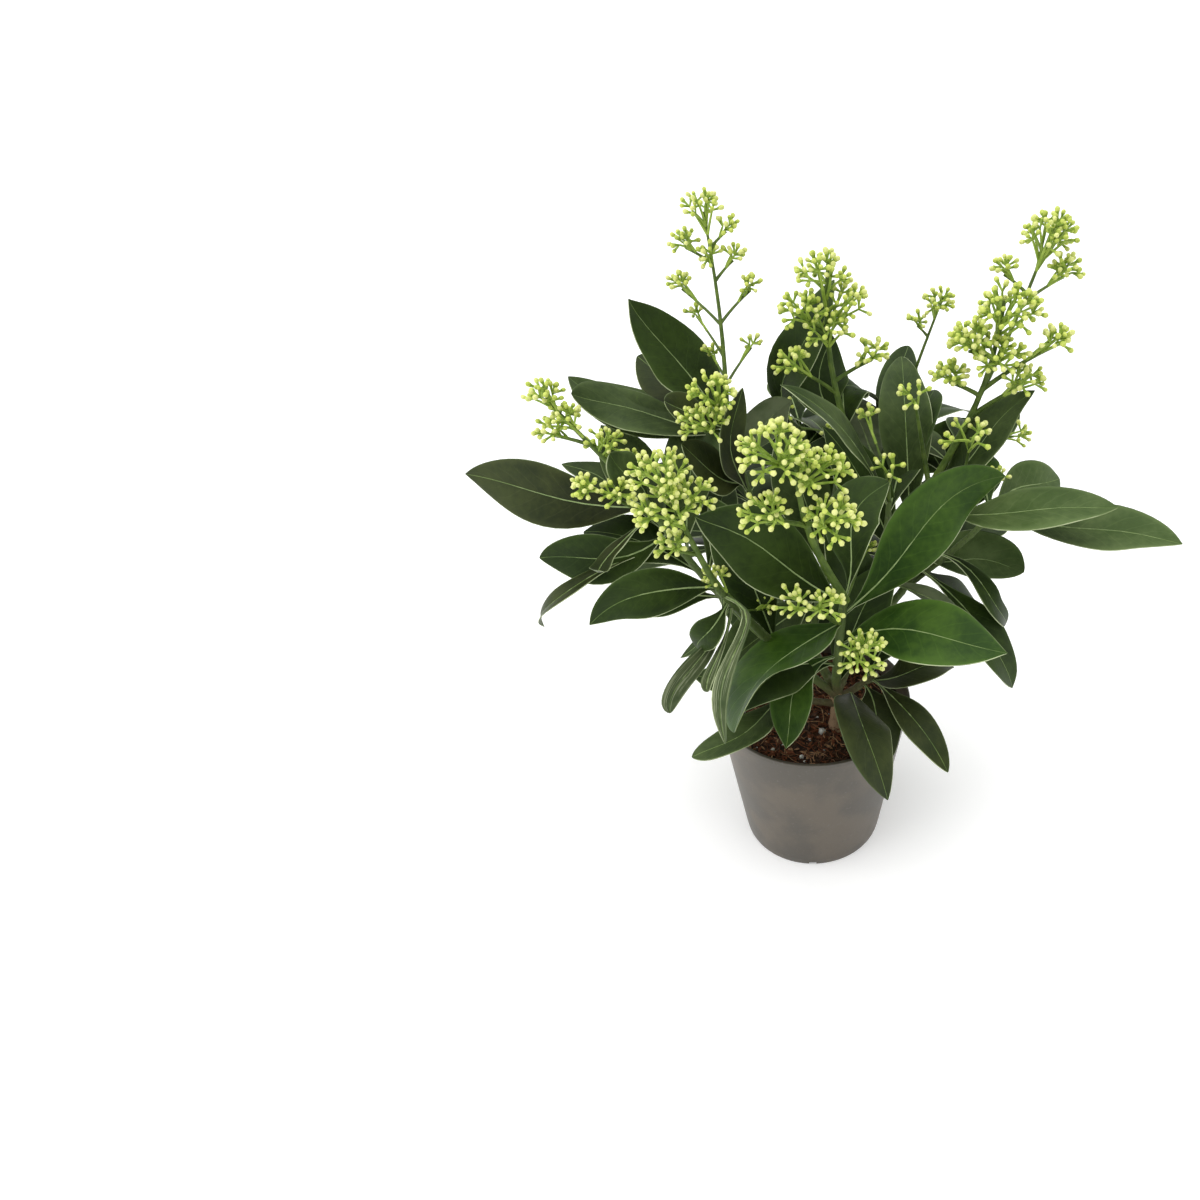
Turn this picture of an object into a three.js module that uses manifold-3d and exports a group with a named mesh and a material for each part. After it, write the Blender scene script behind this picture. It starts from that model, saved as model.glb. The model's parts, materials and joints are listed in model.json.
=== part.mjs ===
// A potted skimmia: one short woody stem in a round nursery pot, forking into boughs that each end in
// a mass of leathery leaves and in heads of flower buds.
// Millimetres, +Z up. The origin is the centre of the pot's flat underside; -Y is the plant's front.
import * as THREE from 'three';
import { mergeVertices } from 'three/addons/utils/BufferGeometryUtils.js';
import Module from 'manifold-3d';

const wasm = await Module();
wasm.setup();

// ---------------------------------------------------------------- driving dimensions

const POT = { height: 113, rimRadius: 65, baseRadius: 47.5, wall: 1.4, lipHeight: 3, lipStep: 1.6, facets: 24 };
const DRAIN = { count: 4, width: 5, height: 2.4 };
const HEADSPACE = 10; // from the growing medium up to the rim
const SOIL_LEVEL = POT.height - HEADSPACE;
const TRUNK = { foot: [16, -16], fork: [15, -10], forkHeight: 127, footRadius: 4.2, forkRadius: 3.7, flare: 2.4 };
const CLEARANCE = 0.35; // between pieces that touch
const BLADE = { thickness: 2.4, sides: 4, stations: 4 };
const BOUGH = { sides: 5, steps: 3 };
const CORE = { sides: 5, steps: 2 };
const ROD = { sides: 4, steps: 1 };
const STALK_RADIUS = 1.5;
const ARM_RADIUS = 1.1;

// A shoot is a tapering bough from its parent, through a bend, to its top, with leaves round the
// leafy stretch below that top. `at` is how far up the parent it starts, from 0 to 1.
// A leaf is [mm below the top, bearing, rise, length, width, arch, roll]: bearing and rise are the
// degrees in which it points, arch is how far its middle stands off the straight line from base to
// tip, and roll turns it about that line.
const SHOOTS = [
  {
    name: 'front', parent: 'trunk', at: 0.98, bend: [14, -31, 165], top: [18, -30, 214], radii: [3, 2.4], leafy: 62,
    leaves: [
      [3, 58, 50, 70, 36, 4, 10],
      [2, -160, 44, 112, 38, 6, -50],
      [14, 17, 38, 121, 38, 5, 50],
      [22, -128, -11, 102, 40, 16, -20],
      [42, -22, 17, 99, 38, 6, 42],
      [46, -123, -28, 64, 30, 6, -10],
      [56, -152, -3, 79, 34, 6, -30],
    ],
  },
  {
    name: 'left_front', parent: 'trunk', at: 0.85, bend: [-20, -30, 172], top: [-52, -46, 232], radii: [2.8, 2.2], leafy: 34,
    leaves: [
      [2, 176, -19, 84, 28, 9, -45],
      [10, -141, -52, 78, 22, 5, -25],
      [12, -94, -53, 81, 18, 4, -10],
      [14, -107, -34, 56, 20, 3, -10],
      [16, -173, -48, 48, 20, 2, -40],
      [20, 160, -42, 48, 22, 3, -50],
    ],
  },
  {
    name: 'left', parent: 'left_front', at: 0.35, bend: [-60, -8, 196], top: [-95, 2, 258], radii: [2.4, 2], leafy: 44,
    leaves: [
      [3, -131, 62, 46, 24, 2, -40],
      [4, -112, -11, 56, 24, 6, -30],
      [4, 142, 8, 66, 26, 4, -30],
      [6, 175, 12, 107, 36, 6, -45],
      [22, -170, -10, 74, 32, 6, -40],
      [30, -168, -27, 88, 30, 8, -40],
      [34, 120, 5, 85, 32, 6, -20],
    ],
  },
  {
    name: 'back_left', parent: 'trunk', at: 0.9, bend: [-26, 20, 195], top: [-50, 42, 286], radii: [2.9, 2.2], leafy: 56,
    leaves: [
      [3, -145, 34, 46, 22, 3, -50],
      [2, 161, 51, 92, 42, 5, -50],
      [6, 136, 20, 90, 34, 6, -30],
      [8, -175, 22, 95, 34, 6, -45],
      [14, 163, 17, 108, 30, 6, -40],
      [36, -132, 51, 46, 34, 2, -70],
      [44, -60, 82, 66, 25, 2, 25],
      [48, 150, -4, 92, 34, 8, -20],
    ],
  },
  {
    name: 'centre_back', parent: 'back_left', at: 0.2, bend: [10, 46, 195], top: [20, 62, 276], radii: [2.6, 2.2], leafy: 40,
    leaves: [
      [2, 20, 25, 62, 32, 4, 30],
      [4, 92, 53, 56, 38, 4, 0],
      [16, 70, 8, 95, 36, 8, 10],
      [26, 165, 2, 90, 34, 8, -10],
    ],
  },
  {
    name: 'right_back', parent: 'trunk', at: 0.94, bend: [40, 20, 170], top: [75, 50, 246], radii: [3, 2.3], leafy: 50,
    leaves: [
      [4, 17, 49, 90, 34, 5, 40],
      [5, -170, 51, 88, 34, 4, 50],
      [20, 97, 53, 110, 36, 5, -5],
      [25, 105, 69, 102, 36, 3, -5],
      [10, 88, 24, 66, 26, 4, 5],
      [40, 40, 10, 90, 32, 6, 20],
    ],
  },
  {
    name: 'middle', parent: 'right_back', at: 0.5, bend: [44, 20, 205], top: [46, 28, 244], radii: [2, 1.8], leafy: 22,
    leaves: [
      [2, -162, 52, 108, 24, 5, -25],
      [12, 75, 20, 85, 32, 6, 5],
    ],
  },
  {
    name: 'right', parent: 'right_back', at: 0.3, bend: [62, 16, 185], top: [85, 28, 240], radii: [2.6, 2.1], leafy: 50,
    leaves: [
      [4, -3, 5, 100, 32, 5, 45],
      [28, -3, -14, 62, 30, 4, 40],
      [34, -15, -39, 72, 26, 6, 35],
      [38, 18, -45, 86, 28, 6, 40],
      [44, -26, -46, 99, 32, 8, 35],
    ],
  },
  {
    name: 'far_right', parent: 'right', at: 0.4, bend: [98, 32, 212], top: [118, 46, 232], radii: [2.1, 1.8], leafy: 22,
    leaves: [
      [2, -15, -6, 111, 36, 6, 45],
      [4, -3, -9, 74, 22, 4, 40],
      [6, 52, -6, 84, 34, 6, 30],
      [10, 95, 5, 84, 32, 6, 10],
      [14, 30, -28, 84, 30, 6, 20],
    ],
  },
  {
    name: 'low_right', parent: 'trunk', at: 0.72, bend: [26, -8, 124], top: [42, -3, 134], radii: [2.6, 2.2], leafy: 22,
    leaves: [
      [3, 5, 1, 64, 32, 4, 35],
      [4, -51, -17, 76, 30, 6, 30],
      [10, -65, -12, 66, 30, 5, 10],
      [20, -75, -15, 80, 37, 8, 10],
      [10, 60, 6, 80, 32, 6, 10],
    ],
  },
  {
    name: 'low_left', parent: 'trunk', at: 0.6, bend: [-2, -18, 124], top: [-24, -25, 134], radii: [2.2, 1.9], leafy: 20,
    leaves: [
      [2, -144, -12, 68, 28, 4, -30],
      [8, 165, 4, 62, 28, 4, -20],
    ],
  },
  {
    name: 'rear_left', parent: 'centre_back', at: 0.4, bend: [0, 78, 215], top: [-8, 88, 264], radii: [2.2, 1.8], leafy: 36,
    leaves: [
      [2, 55, 65, 98, 42, 4, 20],
      ...fan({ count: 3, from: 70, to: 165, rise: 18, drop: 12, length: 92, width: 36 }),
    ],
  },
  {
    name: 'rear_mid', parent: 'centre_back', at: 0.25, bend: [36, 90, 180], top: [50, 112, 232], radii: [2.3, 1.8], leafy: 44,
    leaves: fan({ count: 4, from: 50, to: 165, rise: 24, drop: 14, length: 96, width: 38 }),
  },
  {
    name: 'rear_right', parent: 'right_back', at: 0.4, bend: [80, 60, 205], top: [95, 85, 260], radii: [2.3, 1.9], leafy: 40,
    leaves: fan({ count: 4, from: 38, to: 120, rise: 14, drop: 11, length: 90, width: 34 }),
  },
  {
    name: 'rear_low_left', parent: 'back_left', at: 0.28, bend: [-40, 60, 165], top: [-58, 92, 198], radii: [2.3, 1.8], leafy: 40,
    leaves: fan({ count: 4, from: 75, to: 165, rise: 12, drop: 12, length: 94, width: 36 }),
  },
  {
    name: 'rear_low_right', parent: 'right_back', at: 0.22, bend: [45, 55, 150], top: [70, 92, 176], radii: [2.3, 1.8], leafy: 40,
    leaves: fan({ count: 4, from: 15, to: 125, rise: 8, drop: 12, length: 94, width: 36 }),
  },
];

// A flower head stands on a straight stalk from a shoot, and is made of lumps of buds:
// [mm up the stalk, bearing, mm out from it, radius, half height].
const BLOOMS = [
  {
    name: 'front', shoot: 'front', below: 0, bearing: -127, rise: 70, length: 124,
    lumps: [[120, -155, 6, 24, 16], [102, -15, 8, 17, 13], [92, -135, 28, 15, 13], [84, -70, 21, 17, 14]],
  },
  {
    name: 'front_low', shoot: 'front', below: 20, bearing: -117, rise: 45, length: 56,
    lumps: [[54, 172, 8, 13, 9], [54, -8, 9, 13, 9]],
  },
  { name: 'front_low_right', shoot: 'front', below: 40, bearing: -68, rise: 34, length: 44, lumps: [[44, 0, 0, 16, 17]] },
  { name: 'front_inner', shoot: 'front', below: 5, bearing: 57, rise: 50, length: 34, lumps: [[34, 0, 0, 8, 10]] },
  {
    name: 'left_front', shoot: 'left_front', below: 0, bearing: -152, rise: 71, length: 84,
    lumps: [[79, 0, 0, 17, 14], [66, 10, 12, 12, 10], [61, -125, 8, 18, 13], [36, -150, 11, 11, 8]],
  },
  {
    name: 'left_front_low', shoot: 'left_front', below: 25, bearing: -80, rise: 45, length: 20,
    lumps: [[18, 0, 0, 15, 9]],
  },
  {
    name: 'left', shoot: 'left', below: 0, bearing: 159, rise: 43, length: 82,
    lumps: [[80, 0, 0, 12, 11], [63, 0, 0, 13, 11], [56, -165, 12, 12, 6], [44, 20, 8, 13, 8], [28, 35, 13, 9, 6]],
  },
  {
    name: 'left_low', shoot: 'left', below: 10, bearing: -137, rise: 41, length: 52,
    lumps: [[50, 180, 4, 9, 8], [42, 0, 8, 11, 9]],
  },
  {
    name: 'back_left', shoot: 'back_left', below: 0, bearing: 105, rise: 69, length: 122,
    lumps: [[111, 0, 0, 18, 20], [92, 35, 8, 9, 7], [77, 16, 22, 8, 8], [76, 148, 22, 9, 7], [42, 36, 22, 6, 5], [42, 110, 9, 7, 5]],
  },
  {
    name: 'back_left_low', shoot: 'back_left', below: 30, bearing: -116, rise: 67, length: 70,
    lumps: [[68, 0, 0, 15, 10], [50, -130, 14, 16, 11]],
  },
  {
    name: 'centre_back', shoot: 'centre_back', below: 0, bearing: 146, rise: 82, length: 100,
    lumps: [[90, 170, 5, 17, 15], [74, -10, 9, 15, 14], [72, -162, 19, 15, 12], [62, -120, 8, 16, 10],
      [46, -148, 30, 13, 9], [46, -10, 20, 13, 8]],
  },
  {
    name: 'right_back', shoot: 'right_back', below: 0, bearing: 10, rise: 74, length: 118,
    lumps: [[109, -15, 5, 20, 16], [92, -152, 13, 15, 14], [94, -2, 34, 10, 8], [84, -38, 10, 17, 11],
      [66, -6, 31, 14, 8], [70, -168, 15, 12, 9]],
  },
  { name: 'right_back_low', shoot: 'right_back', below: 6, bearing: -130, rise: 71, length: 74, lumps: [[73, 0, 0, 11, 7]] },
  { name: 'middle', shoot: 'middle', below: 0, bearing: -100, rise: 64, length: 32, lumps: [[31, 0, 0, 12, 11]] },
  { name: 'right', shoot: 'right', below: 0, bearing: -40, rise: 82, length: 50, lumps: [[49, 0, 0, 16, 8]] },
  { name: 'right_low', shoot: 'right', below: 2, bearing: 6, rise: 40, length: 27, lumps: [[26, 0, 0, 7, 8]] },
  {
    name: 'rear_right', shoot: 'rear_right', below: 0, bearing: 20, rise: 71, length: 136,
    lumps: [[125, 0, 4, 17, 16], [106, -8, 20, 12, 10], [108, -165, 17, 9, 9]],
  },
  { name: 'far_right', shoot: 'rear_right', below: 8, bearing: 6, rise: 8, length: 38, lumps: [[37, 0, 0, 13, 9]] },
  { name: 'rear_mid', shoot: 'rear_mid', below: 0, bearing: 4, rise: 74, length: 106, lumps: [[98, 0, 2, 12, 11], [86, -160, 11, 9, 7]] },
  { name: 'rear_left', shoot: 'rear_left', below: 2, bearing: -108, rise: 42, length: 38, lumps: [[37, 0, 0, 8, 9]] },
];

// ---------------------------------------------------------------- materials

function finish(color, roughness) {
  return new THREE.MeshStandardMaterial({ color, roughness, metalness: 0 });
}

const BARK = finish(0x8a6a48, 0.8);
const STEM = finish(0x6f8a3c, 0.6);
const LEAF = finish(0x2f4a2b, 0.45);
const BUD = finish(0xb9cf6a, 0.55);
const PLASTIC = finish(0x6b625c, 0.6);
const MEDIUM = finish(0x4a2a1c, 0.95);

// ---------------------------------------------------------------- solids

function solidFrom(geometry) {
  const bare = geometry.clone();
  bare.deleteAttribute('normal');
  bare.deleteAttribute('uv');
  const welded = mergeVertices(bare, 1e-3);
  const mesh = new wasm.Mesh({
    numProp: 3,
    vertProperties: new Float32Array(welded.attributes.position.array),
    triVerts: new Uint32Array(welded.index.array),
  });
  return new wasm.Manifold(mesh);
}

function geometryFrom(solid) {
  const { numProp, vertProperties, triVerts } = solid.getMesh();
  const geometry = new THREE.BufferGeometry();
  const positions = new Float32Array((vertProperties.length / numProp) * 3);
  for (let i = 0; i < positions.length / 3; i++) {
    positions.set(vertProperties.subarray(i * numProp, i * numProp + 3), i * 3);
  }
  geometry.setAttribute('position', new THREE.BufferAttribute(positions, 3));
  geometry.setIndex([...triVerts]);
  geometry.computeVertexNormals();
  return geometry;
}

function largestPiece(solid) {
  return solid.decompose().reduce((best, piece) => (piece.volume() > best.volume() ? piece : best));
}

function unite(solids) {
  return solids.reduce((whole, piece) => whole.add(piece));
}

// Moves every vertex of a geometry that stands along local Y by a rule of its own.
function reshape(geometry, rule) {
  const place = geometry.attributes.position;
  const point = new THREE.Vector3();
  for (let i = 0; i < place.count; i++) {
    rule(point.fromBufferAttribute(place, i));
    place.setXYZ(i, point.x, point.y, point.z);
  }
  return geometry;
}

function direction(bearing, rise) {
  const turn = THREE.MathUtils.degToRad(bearing);
  const lift = THREE.MathUtils.degToRad(rise);
  return new THREE.Vector3(Math.cos(lift) * Math.cos(turn), Math.cos(lift) * Math.sin(turn), Math.sin(lift));
}

// A closed tube of changing radius along part of a curve.
function limb(curve, start, end, { sides, steps }, radiusAt) {
  const stretch = [0, 1, 2, 3].map((i) => curve.getPointAt(start + ((end - start) * i) / 3));
  const line = new THREE.CatmullRomCurve3(stretch);
  const { normals, binormals } = line.computeFrenetFrames(steps);
  const bar = new THREE.CylinderGeometry(1, 1, 1, sides, steps);
  return reshape(bar, (point) => {
    const along = point.y + 0.5;
    const ring = Math.round(along * steps);
    const radius = radiusAt(along);
    const across = point.x * radius;
    const beyond = -point.z * radius;
    line.getPointAt(along, point);
    point.addScaledVector(normals[ring], across).addScaledVector(binormals[ring], beyond);
  });
}

// One leaf as a thin closed blade with its own outline, arched and rolled.
function blade(foot, [, bearing, rise, length, width, arch, roll], grow) {
  const ahead = direction(bearing, rise);
  const level = new THREE.Vector3(ahead.y, -ahead.x, 0).normalize();
  const upward = level.clone().cross(ahead);
  const side = level.clone().applyAxisAngle(ahead, THREE.MathUtils.degToRad(roll));
  const face = side.clone().cross(ahead);
  const lens = new THREE.SphereGeometry(1, BLADE.sides, BLADE.stations);
  return reshape(lens, (point) => {
    const along = (point.y + 1) / 2;
    const round = Math.hypot(point.x, point.z) || 1;
    const swell = Math.sin(Math.PI * along ** 1.3) ** 0.9;
    const across = (point.x / round) * (swell * width / 2 + grow);
    const through = (point.z / round) * (Math.sqrt(swell) * BLADE.thickness / 2 + grow);
    const lift = 4 * arch * along * (1 - along);
    const isPole = along < 1e-6 || along > 1 - 1e-6;
    point.copy(foot).addScaledVector(ahead, along * length);
    if (!isPole) {
      point.addScaledVector(side, across).addScaledVector(face, through).addScaledVector(upward, lift);
    }
  });
}

// One lump of buds: an uneven ball that carries its own wobble.
function lump(centre, radius, halfHeight, seed, grow) {
  const ball = new THREE.IcosahedronGeometry(1.06, 0);
  return reshape(ball, (point) => {
    const wobble = 1 + 0.1 * Math.sin(3 * point.x + seed) * Math.cos(4 * point.y + 2 * seed);
    point.multiply(new THREE.Vector3(radius + grow, radius + grow, halfHeight + grow)).multiplyScalar(wobble).add(centre);
  });
}

// Leaves spread evenly over an arc of bearings, the lower ones drooping more. Leaves next to each
// other in height take bearings that are not next to each other.
function fan({ count, from, to, rise, drop, length, width }) {
  return Array.from({ length: count }, (_, i) => {
    const rank = (i * (count - 1) + 1) % count;
    const bearing = from + ((to - from) * rank) / (count - 1);
    const below = 3 + (34 * i) / count;
    return [below, bearing, rise - drop * i, length - 4 * (i % 3), width, 6, 0];
  });
}

// ---------------------------------------------------------------- assembly

const plant = new THREE.Group();
const placed = []; // every solid so far, each a clearance fatter

function addMesh(name, solid, material) {
  const mesh = new THREE.Mesh(geometryFrom(solid), material);
  mesh.name = name;
  plant.add(mesh);
}

// Adds a piece cut clear of everything placed before it. build(grow) makes it that much fatter.
function place(name, build, material) {
  const clear = placed.reduce((piece, other) => piece.subtract(other), build(0));
  addMesh(name, largestPiece(clear), material);
  placed.push(build(CLEARANCE));
}

function potRadiusAt(height) {
  return POT.baseRadius + ((POT.rimRadius - POT.lipStep - POT.baseRadius) * height) / POT.height;
}

function makePot() {
  const lipFoot = POT.height - POT.lipHeight;
  const outline = [
    [0, 0],
    [POT.baseRadius, 0],
    [potRadiusAt(lipFoot), lipFoot],
    [POT.rimRadius, lipFoot + 1],
    [POT.rimRadius, POT.height],
    [potRadiusAt(POT.height) - POT.wall, POT.height],
    [potRadiusAt(POT.wall) - POT.wall, POT.wall],
    [0, POT.wall],
  ];
  const shell = new THREE.LatheGeometry(outline.map(([x, y]) => new THREE.Vector2(x, y)), POT.facets);
  let pot = solidFrom(shell.rotateX(Math.PI / 2));
  for (let i = 0; i < DRAIN.count; i++) {
    const slot = new THREE.BoxGeometry(12, DRAIN.width, 2 * DRAIN.height);
    slot.translate(POT.baseRadius, 0, 0).rotateZ((2 * Math.PI * i) / DRAIN.count - Math.PI / 2);
    pot = pot.subtract(solidFrom(slot));
  }
  return pot;
}

function makeMedium() {
  const floor = POT.wall + CLEARANCE;
  const gap = POT.wall + CLEARANCE + 0.2;
  const outline = [
    [0, floor],
    [potRadiusAt(floor) - gap, floor],
    [potRadiusAt(SOIL_LEVEL) - gap, SOIL_LEVEL],
    [0, SOIL_LEVEL],
  ];
  const plug = new THREE.LatheGeometry(outline.map(([x, y]) => new THREE.Vector2(x, y)), POT.facets);
  return solidFrom(plug.rotateX(Math.PI / 2));
}

// The trunk's rings stay level, so its foot is a flat cut at soil level.
function trunkAxis(along) {
  const height = SOIL_LEVEL + CLEARANCE + (TRUNK.forkHeight - SOIL_LEVEL - CLEARANCE) * along;
  const lean = TRUNK.foot.map((start, i) => start + (TRUNK.fork[i] - start) * along ** 1.4);
  return new THREE.Vector3(...lean, height);
}

function makeTrunk(grow) {
  const bar = new THREE.CylinderGeometry(1, 1, 1, 8, 3);
  return solidFrom(reshape(bar, (point) => {
    const along = point.y + 0.5;
    const taper = TRUNK.footRadius + (TRUNK.forkRadius - TRUNK.footRadius) * along;
    const radius = taper + TRUNK.flare * (1 - along) ** 4 + grow;
    const across = point.x * radius;
    const beyond = -point.z * radius;
    point.copy(trunkAxis(along)).add(new THREE.Vector3(across, beyond, 0));
  }));
}

addMesh('pot', makePot(), PLASTIC);
addMesh('growing_medium', makeMedium(), MEDIUM);
place('trunk', makeTrunk, BARK);

const axes = { trunk: new THREE.CatmullRomCurve3([0, 0.5, 1].map(trunkAxis)) };

for (const shoot of SHOOTS) {
  const start = axes[shoot.parent].getPointAt(shoot.at);
  const axis = new THREE.QuadraticBezierCurve3(start, new THREE.Vector3(...shoot.bend), new THREE.Vector3(...shoot.top));
  axes[shoot.name] = axis;
  shoot.span = axis.getLength();
  shoot.leafStart = 1 - shoot.leafy / shoot.span;
  const [thick, thin] = shoot.radii;
  const taper = (along, grow) => thick + (thin - thick) * along + grow;
  place(`bough_${shoot.name}`, (grow) => {
    const end = shoot.leafStart + grow / shoot.span;
    return solidFrom(limb(axis, 0, end, BOUGH, (along) => taper(along * end, grow)));
  }, STEM);
}

function pointBelowTop(shoot, below) {
  return axes[shoot.name].getPointAt(Math.max(1 - below / shoot.span, 0));
}

for (const shoot of SHOOTS) {
  const thin = shoot.radii[1];
  place(`leaves_${shoot.name}`, (grow) => {
    const core = limb(axes[shoot.name], shoot.leafStart, 1, CORE, () => thin + 0.6 + grow);
    const blades = shoot.leaves.map((leaf) => blade(pointBelowTop(shoot, leaf[0]), leaf, grow));
    return unite([core, ...blades].map(solidFrom));
  }, LEAF);
}

for (const bloom of BLOOMS) {
  const shoot = SHOOTS.find(({ name }) => name === bloom.shoot);
  const foot = pointBelowTop(shoot, bloom.below);
  const ahead = direction(bloom.bearing, bloom.rise);
  place(`bloom_${bloom.name}`, (grow) => {
    const pieces = [];
    const up = (height) => foot.clone().addScaledVector(ahead, height);
    const rod = (from, to, radius) => limb(new THREE.LineCurve3(from, to), 0, 1, ROD, () => radius + grow);
    pieces.push(rod(foot, up(bloom.length), STALK_RADIUS));
    bloom.lumps.forEach(([height, bearing, out, radius, halfHeight], i) => {
      const centre = up(height).addScaledVector(direction(bearing, 0), out);
      pieces.push(lump(centre, radius, halfHeight, i + bloom.length, grow));
      if (out > radius) {
        pieces.push(rod(up(height - 0.6 * out), centre, ARM_RADIUS));
      }
    });
    return unite(pieces.map(solidFrom));
  }, BUD);
}

export default plant;
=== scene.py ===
# %% [markdown]
# # A potted skimmia
# A small evergreen shrub in its nursery pot: a short woody stem, green boughs, whorls of leathery leaves
# and upright heads of closed flower buds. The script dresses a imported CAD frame. Each cell models one part
# of the plant, so they can be run and looked at one at a time.

# %% Load the frame
import json
import math
import random
from collections import namedtuple

import bpy
import numpy as np
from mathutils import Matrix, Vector, noise

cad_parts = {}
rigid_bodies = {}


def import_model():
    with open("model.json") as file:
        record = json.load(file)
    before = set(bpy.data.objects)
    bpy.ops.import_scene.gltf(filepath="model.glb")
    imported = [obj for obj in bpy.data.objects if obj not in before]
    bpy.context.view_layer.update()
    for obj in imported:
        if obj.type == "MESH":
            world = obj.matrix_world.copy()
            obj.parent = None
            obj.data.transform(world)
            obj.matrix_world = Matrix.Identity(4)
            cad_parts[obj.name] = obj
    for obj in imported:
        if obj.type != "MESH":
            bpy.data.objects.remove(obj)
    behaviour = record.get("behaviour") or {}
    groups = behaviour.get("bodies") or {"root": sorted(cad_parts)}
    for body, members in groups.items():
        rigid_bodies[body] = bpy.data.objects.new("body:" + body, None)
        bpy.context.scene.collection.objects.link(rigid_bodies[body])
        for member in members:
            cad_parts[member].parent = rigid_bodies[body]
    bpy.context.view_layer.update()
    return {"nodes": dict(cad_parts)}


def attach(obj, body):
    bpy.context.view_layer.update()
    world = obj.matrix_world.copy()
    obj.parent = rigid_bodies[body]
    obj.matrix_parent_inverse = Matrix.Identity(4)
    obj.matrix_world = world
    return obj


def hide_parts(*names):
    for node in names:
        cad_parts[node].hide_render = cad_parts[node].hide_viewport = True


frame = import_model()
MM = 0.001
print("frame loaded:", len(frame["nodes"]), "nodes")

# %% [markdown]
# ## Camera, floor and light
# A plant like this is shown from a little above, so that the whorls open towards the viewer. A short lens
# held close gives the spread of the near leaves. The shift only slides the plant to the right of the frame.

# %% Camera
CAMERA_PLACE, CAMERA_TILT = (0.0, -0.470, 0.532), 54.0
SENSOR, LENS, SIDE_SHIFT = 36.0, 28.5, -0.1773
PLANT_MIDDLE = Vector((0, 0, 0.2))

bpy.ops.object.select_all(action="DESELECT")
bpy.ops.object.camera_add(location=CAMERA_PLACE, rotation=(math.radians(CAMERA_TILT), 0.0, 0.0))
camera = bpy.context.object
camera.name = "camera"
camera.data.sensor_width = SENSOR
camera.data.lens = LENS
camera.data.shift_x = SIDE_SHIFT
camera.data.clip_start = 0.01
bpy.context.scene.camera = camera
print("camera", round((camera.location - PLANT_MIDDLE).length, 3), "m from the plant's middle")

# %% [markdown]
# The light is one wide, soft source almost straight overhead and a weaker one low at the left, in an even
# pale surround. A sun lights the floor alike near the plant and far from it, which a lamp close by would
# not, and its width keeps the shadows soft. The floor paper glows a little, so that it stays pale.

# %% Floor and light
FLOOR_SIZE, LAMP_HEIGHT = 60.0, 3.0
SURROUND_STRENGTH = 0.50

bpy.context.scene.view_settings.view_transform = "Standard"
bpy.ops.mesh.primitive_plane_add(size=FLOOR_SIZE)
floor = bpy.context.object
floor.name = "floor"

surround = bpy.data.worlds.new("surround")
surround.use_nodes = True
sky = surround.node_tree.nodes["Background"].inputs
sky["Color"].default_value = (1.0, 1.0, 1.0, 1.0)
sky["Strength"].default_value = SURROUND_STRENGTH
bpy.context.scene.world = surround


def wide_lamp(name, lean_right, lean_front, width, power):
    """A sun this many degrees wide, leaning by these degrees from straight above."""
    tilt = (math.radians(lean_front), math.radians(lean_right), 0.0)
    bpy.ops.object.light_add(type="SUN", location=(0.0, 0.0, LAMP_HEIGHT), rotation=tilt)
    lamp = bpy.context.object
    lamp.name = name
    lamp.data.angle = math.radians(width)
    lamp.data.energy = power
    print(name, power)


wide_lamp("overhead_light", 4.0, -3.0, 76.0, 2.55)
wide_lamp("left_light", -66.0, 10.0, 60.0, 1.35)

# %% [markdown]
# ## Finishes
# A finish is worked out as sums on what the shader can see: where a point is on the object, or where it is
# on its own leaf. Writing those sums as plain Python keeps them readable, so a signal stands for a socket
# and adds the node that each sum needs.

# %% Sums on signals
class Signal:
    """One socket's value inside a finish."""

    def __init__(self, finish, socket):
        self.finish = finish
        self.socket = socket

    def sum(self, operation, first, second):
        return self.finish.node("ShaderNodeMath", {"operation": operation}, {0: first, 1: second})

    def __add__(self, other):
        return self.sum("ADD", self, other)

    def __sub__(self, other):
        return self.sum("SUBTRACT", self, other)

    def __mul__(self, other):
        return self.sum("MULTIPLY", self, other)

    def __radd__(self, other):
        return self.sum("ADD", other, self)


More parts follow.
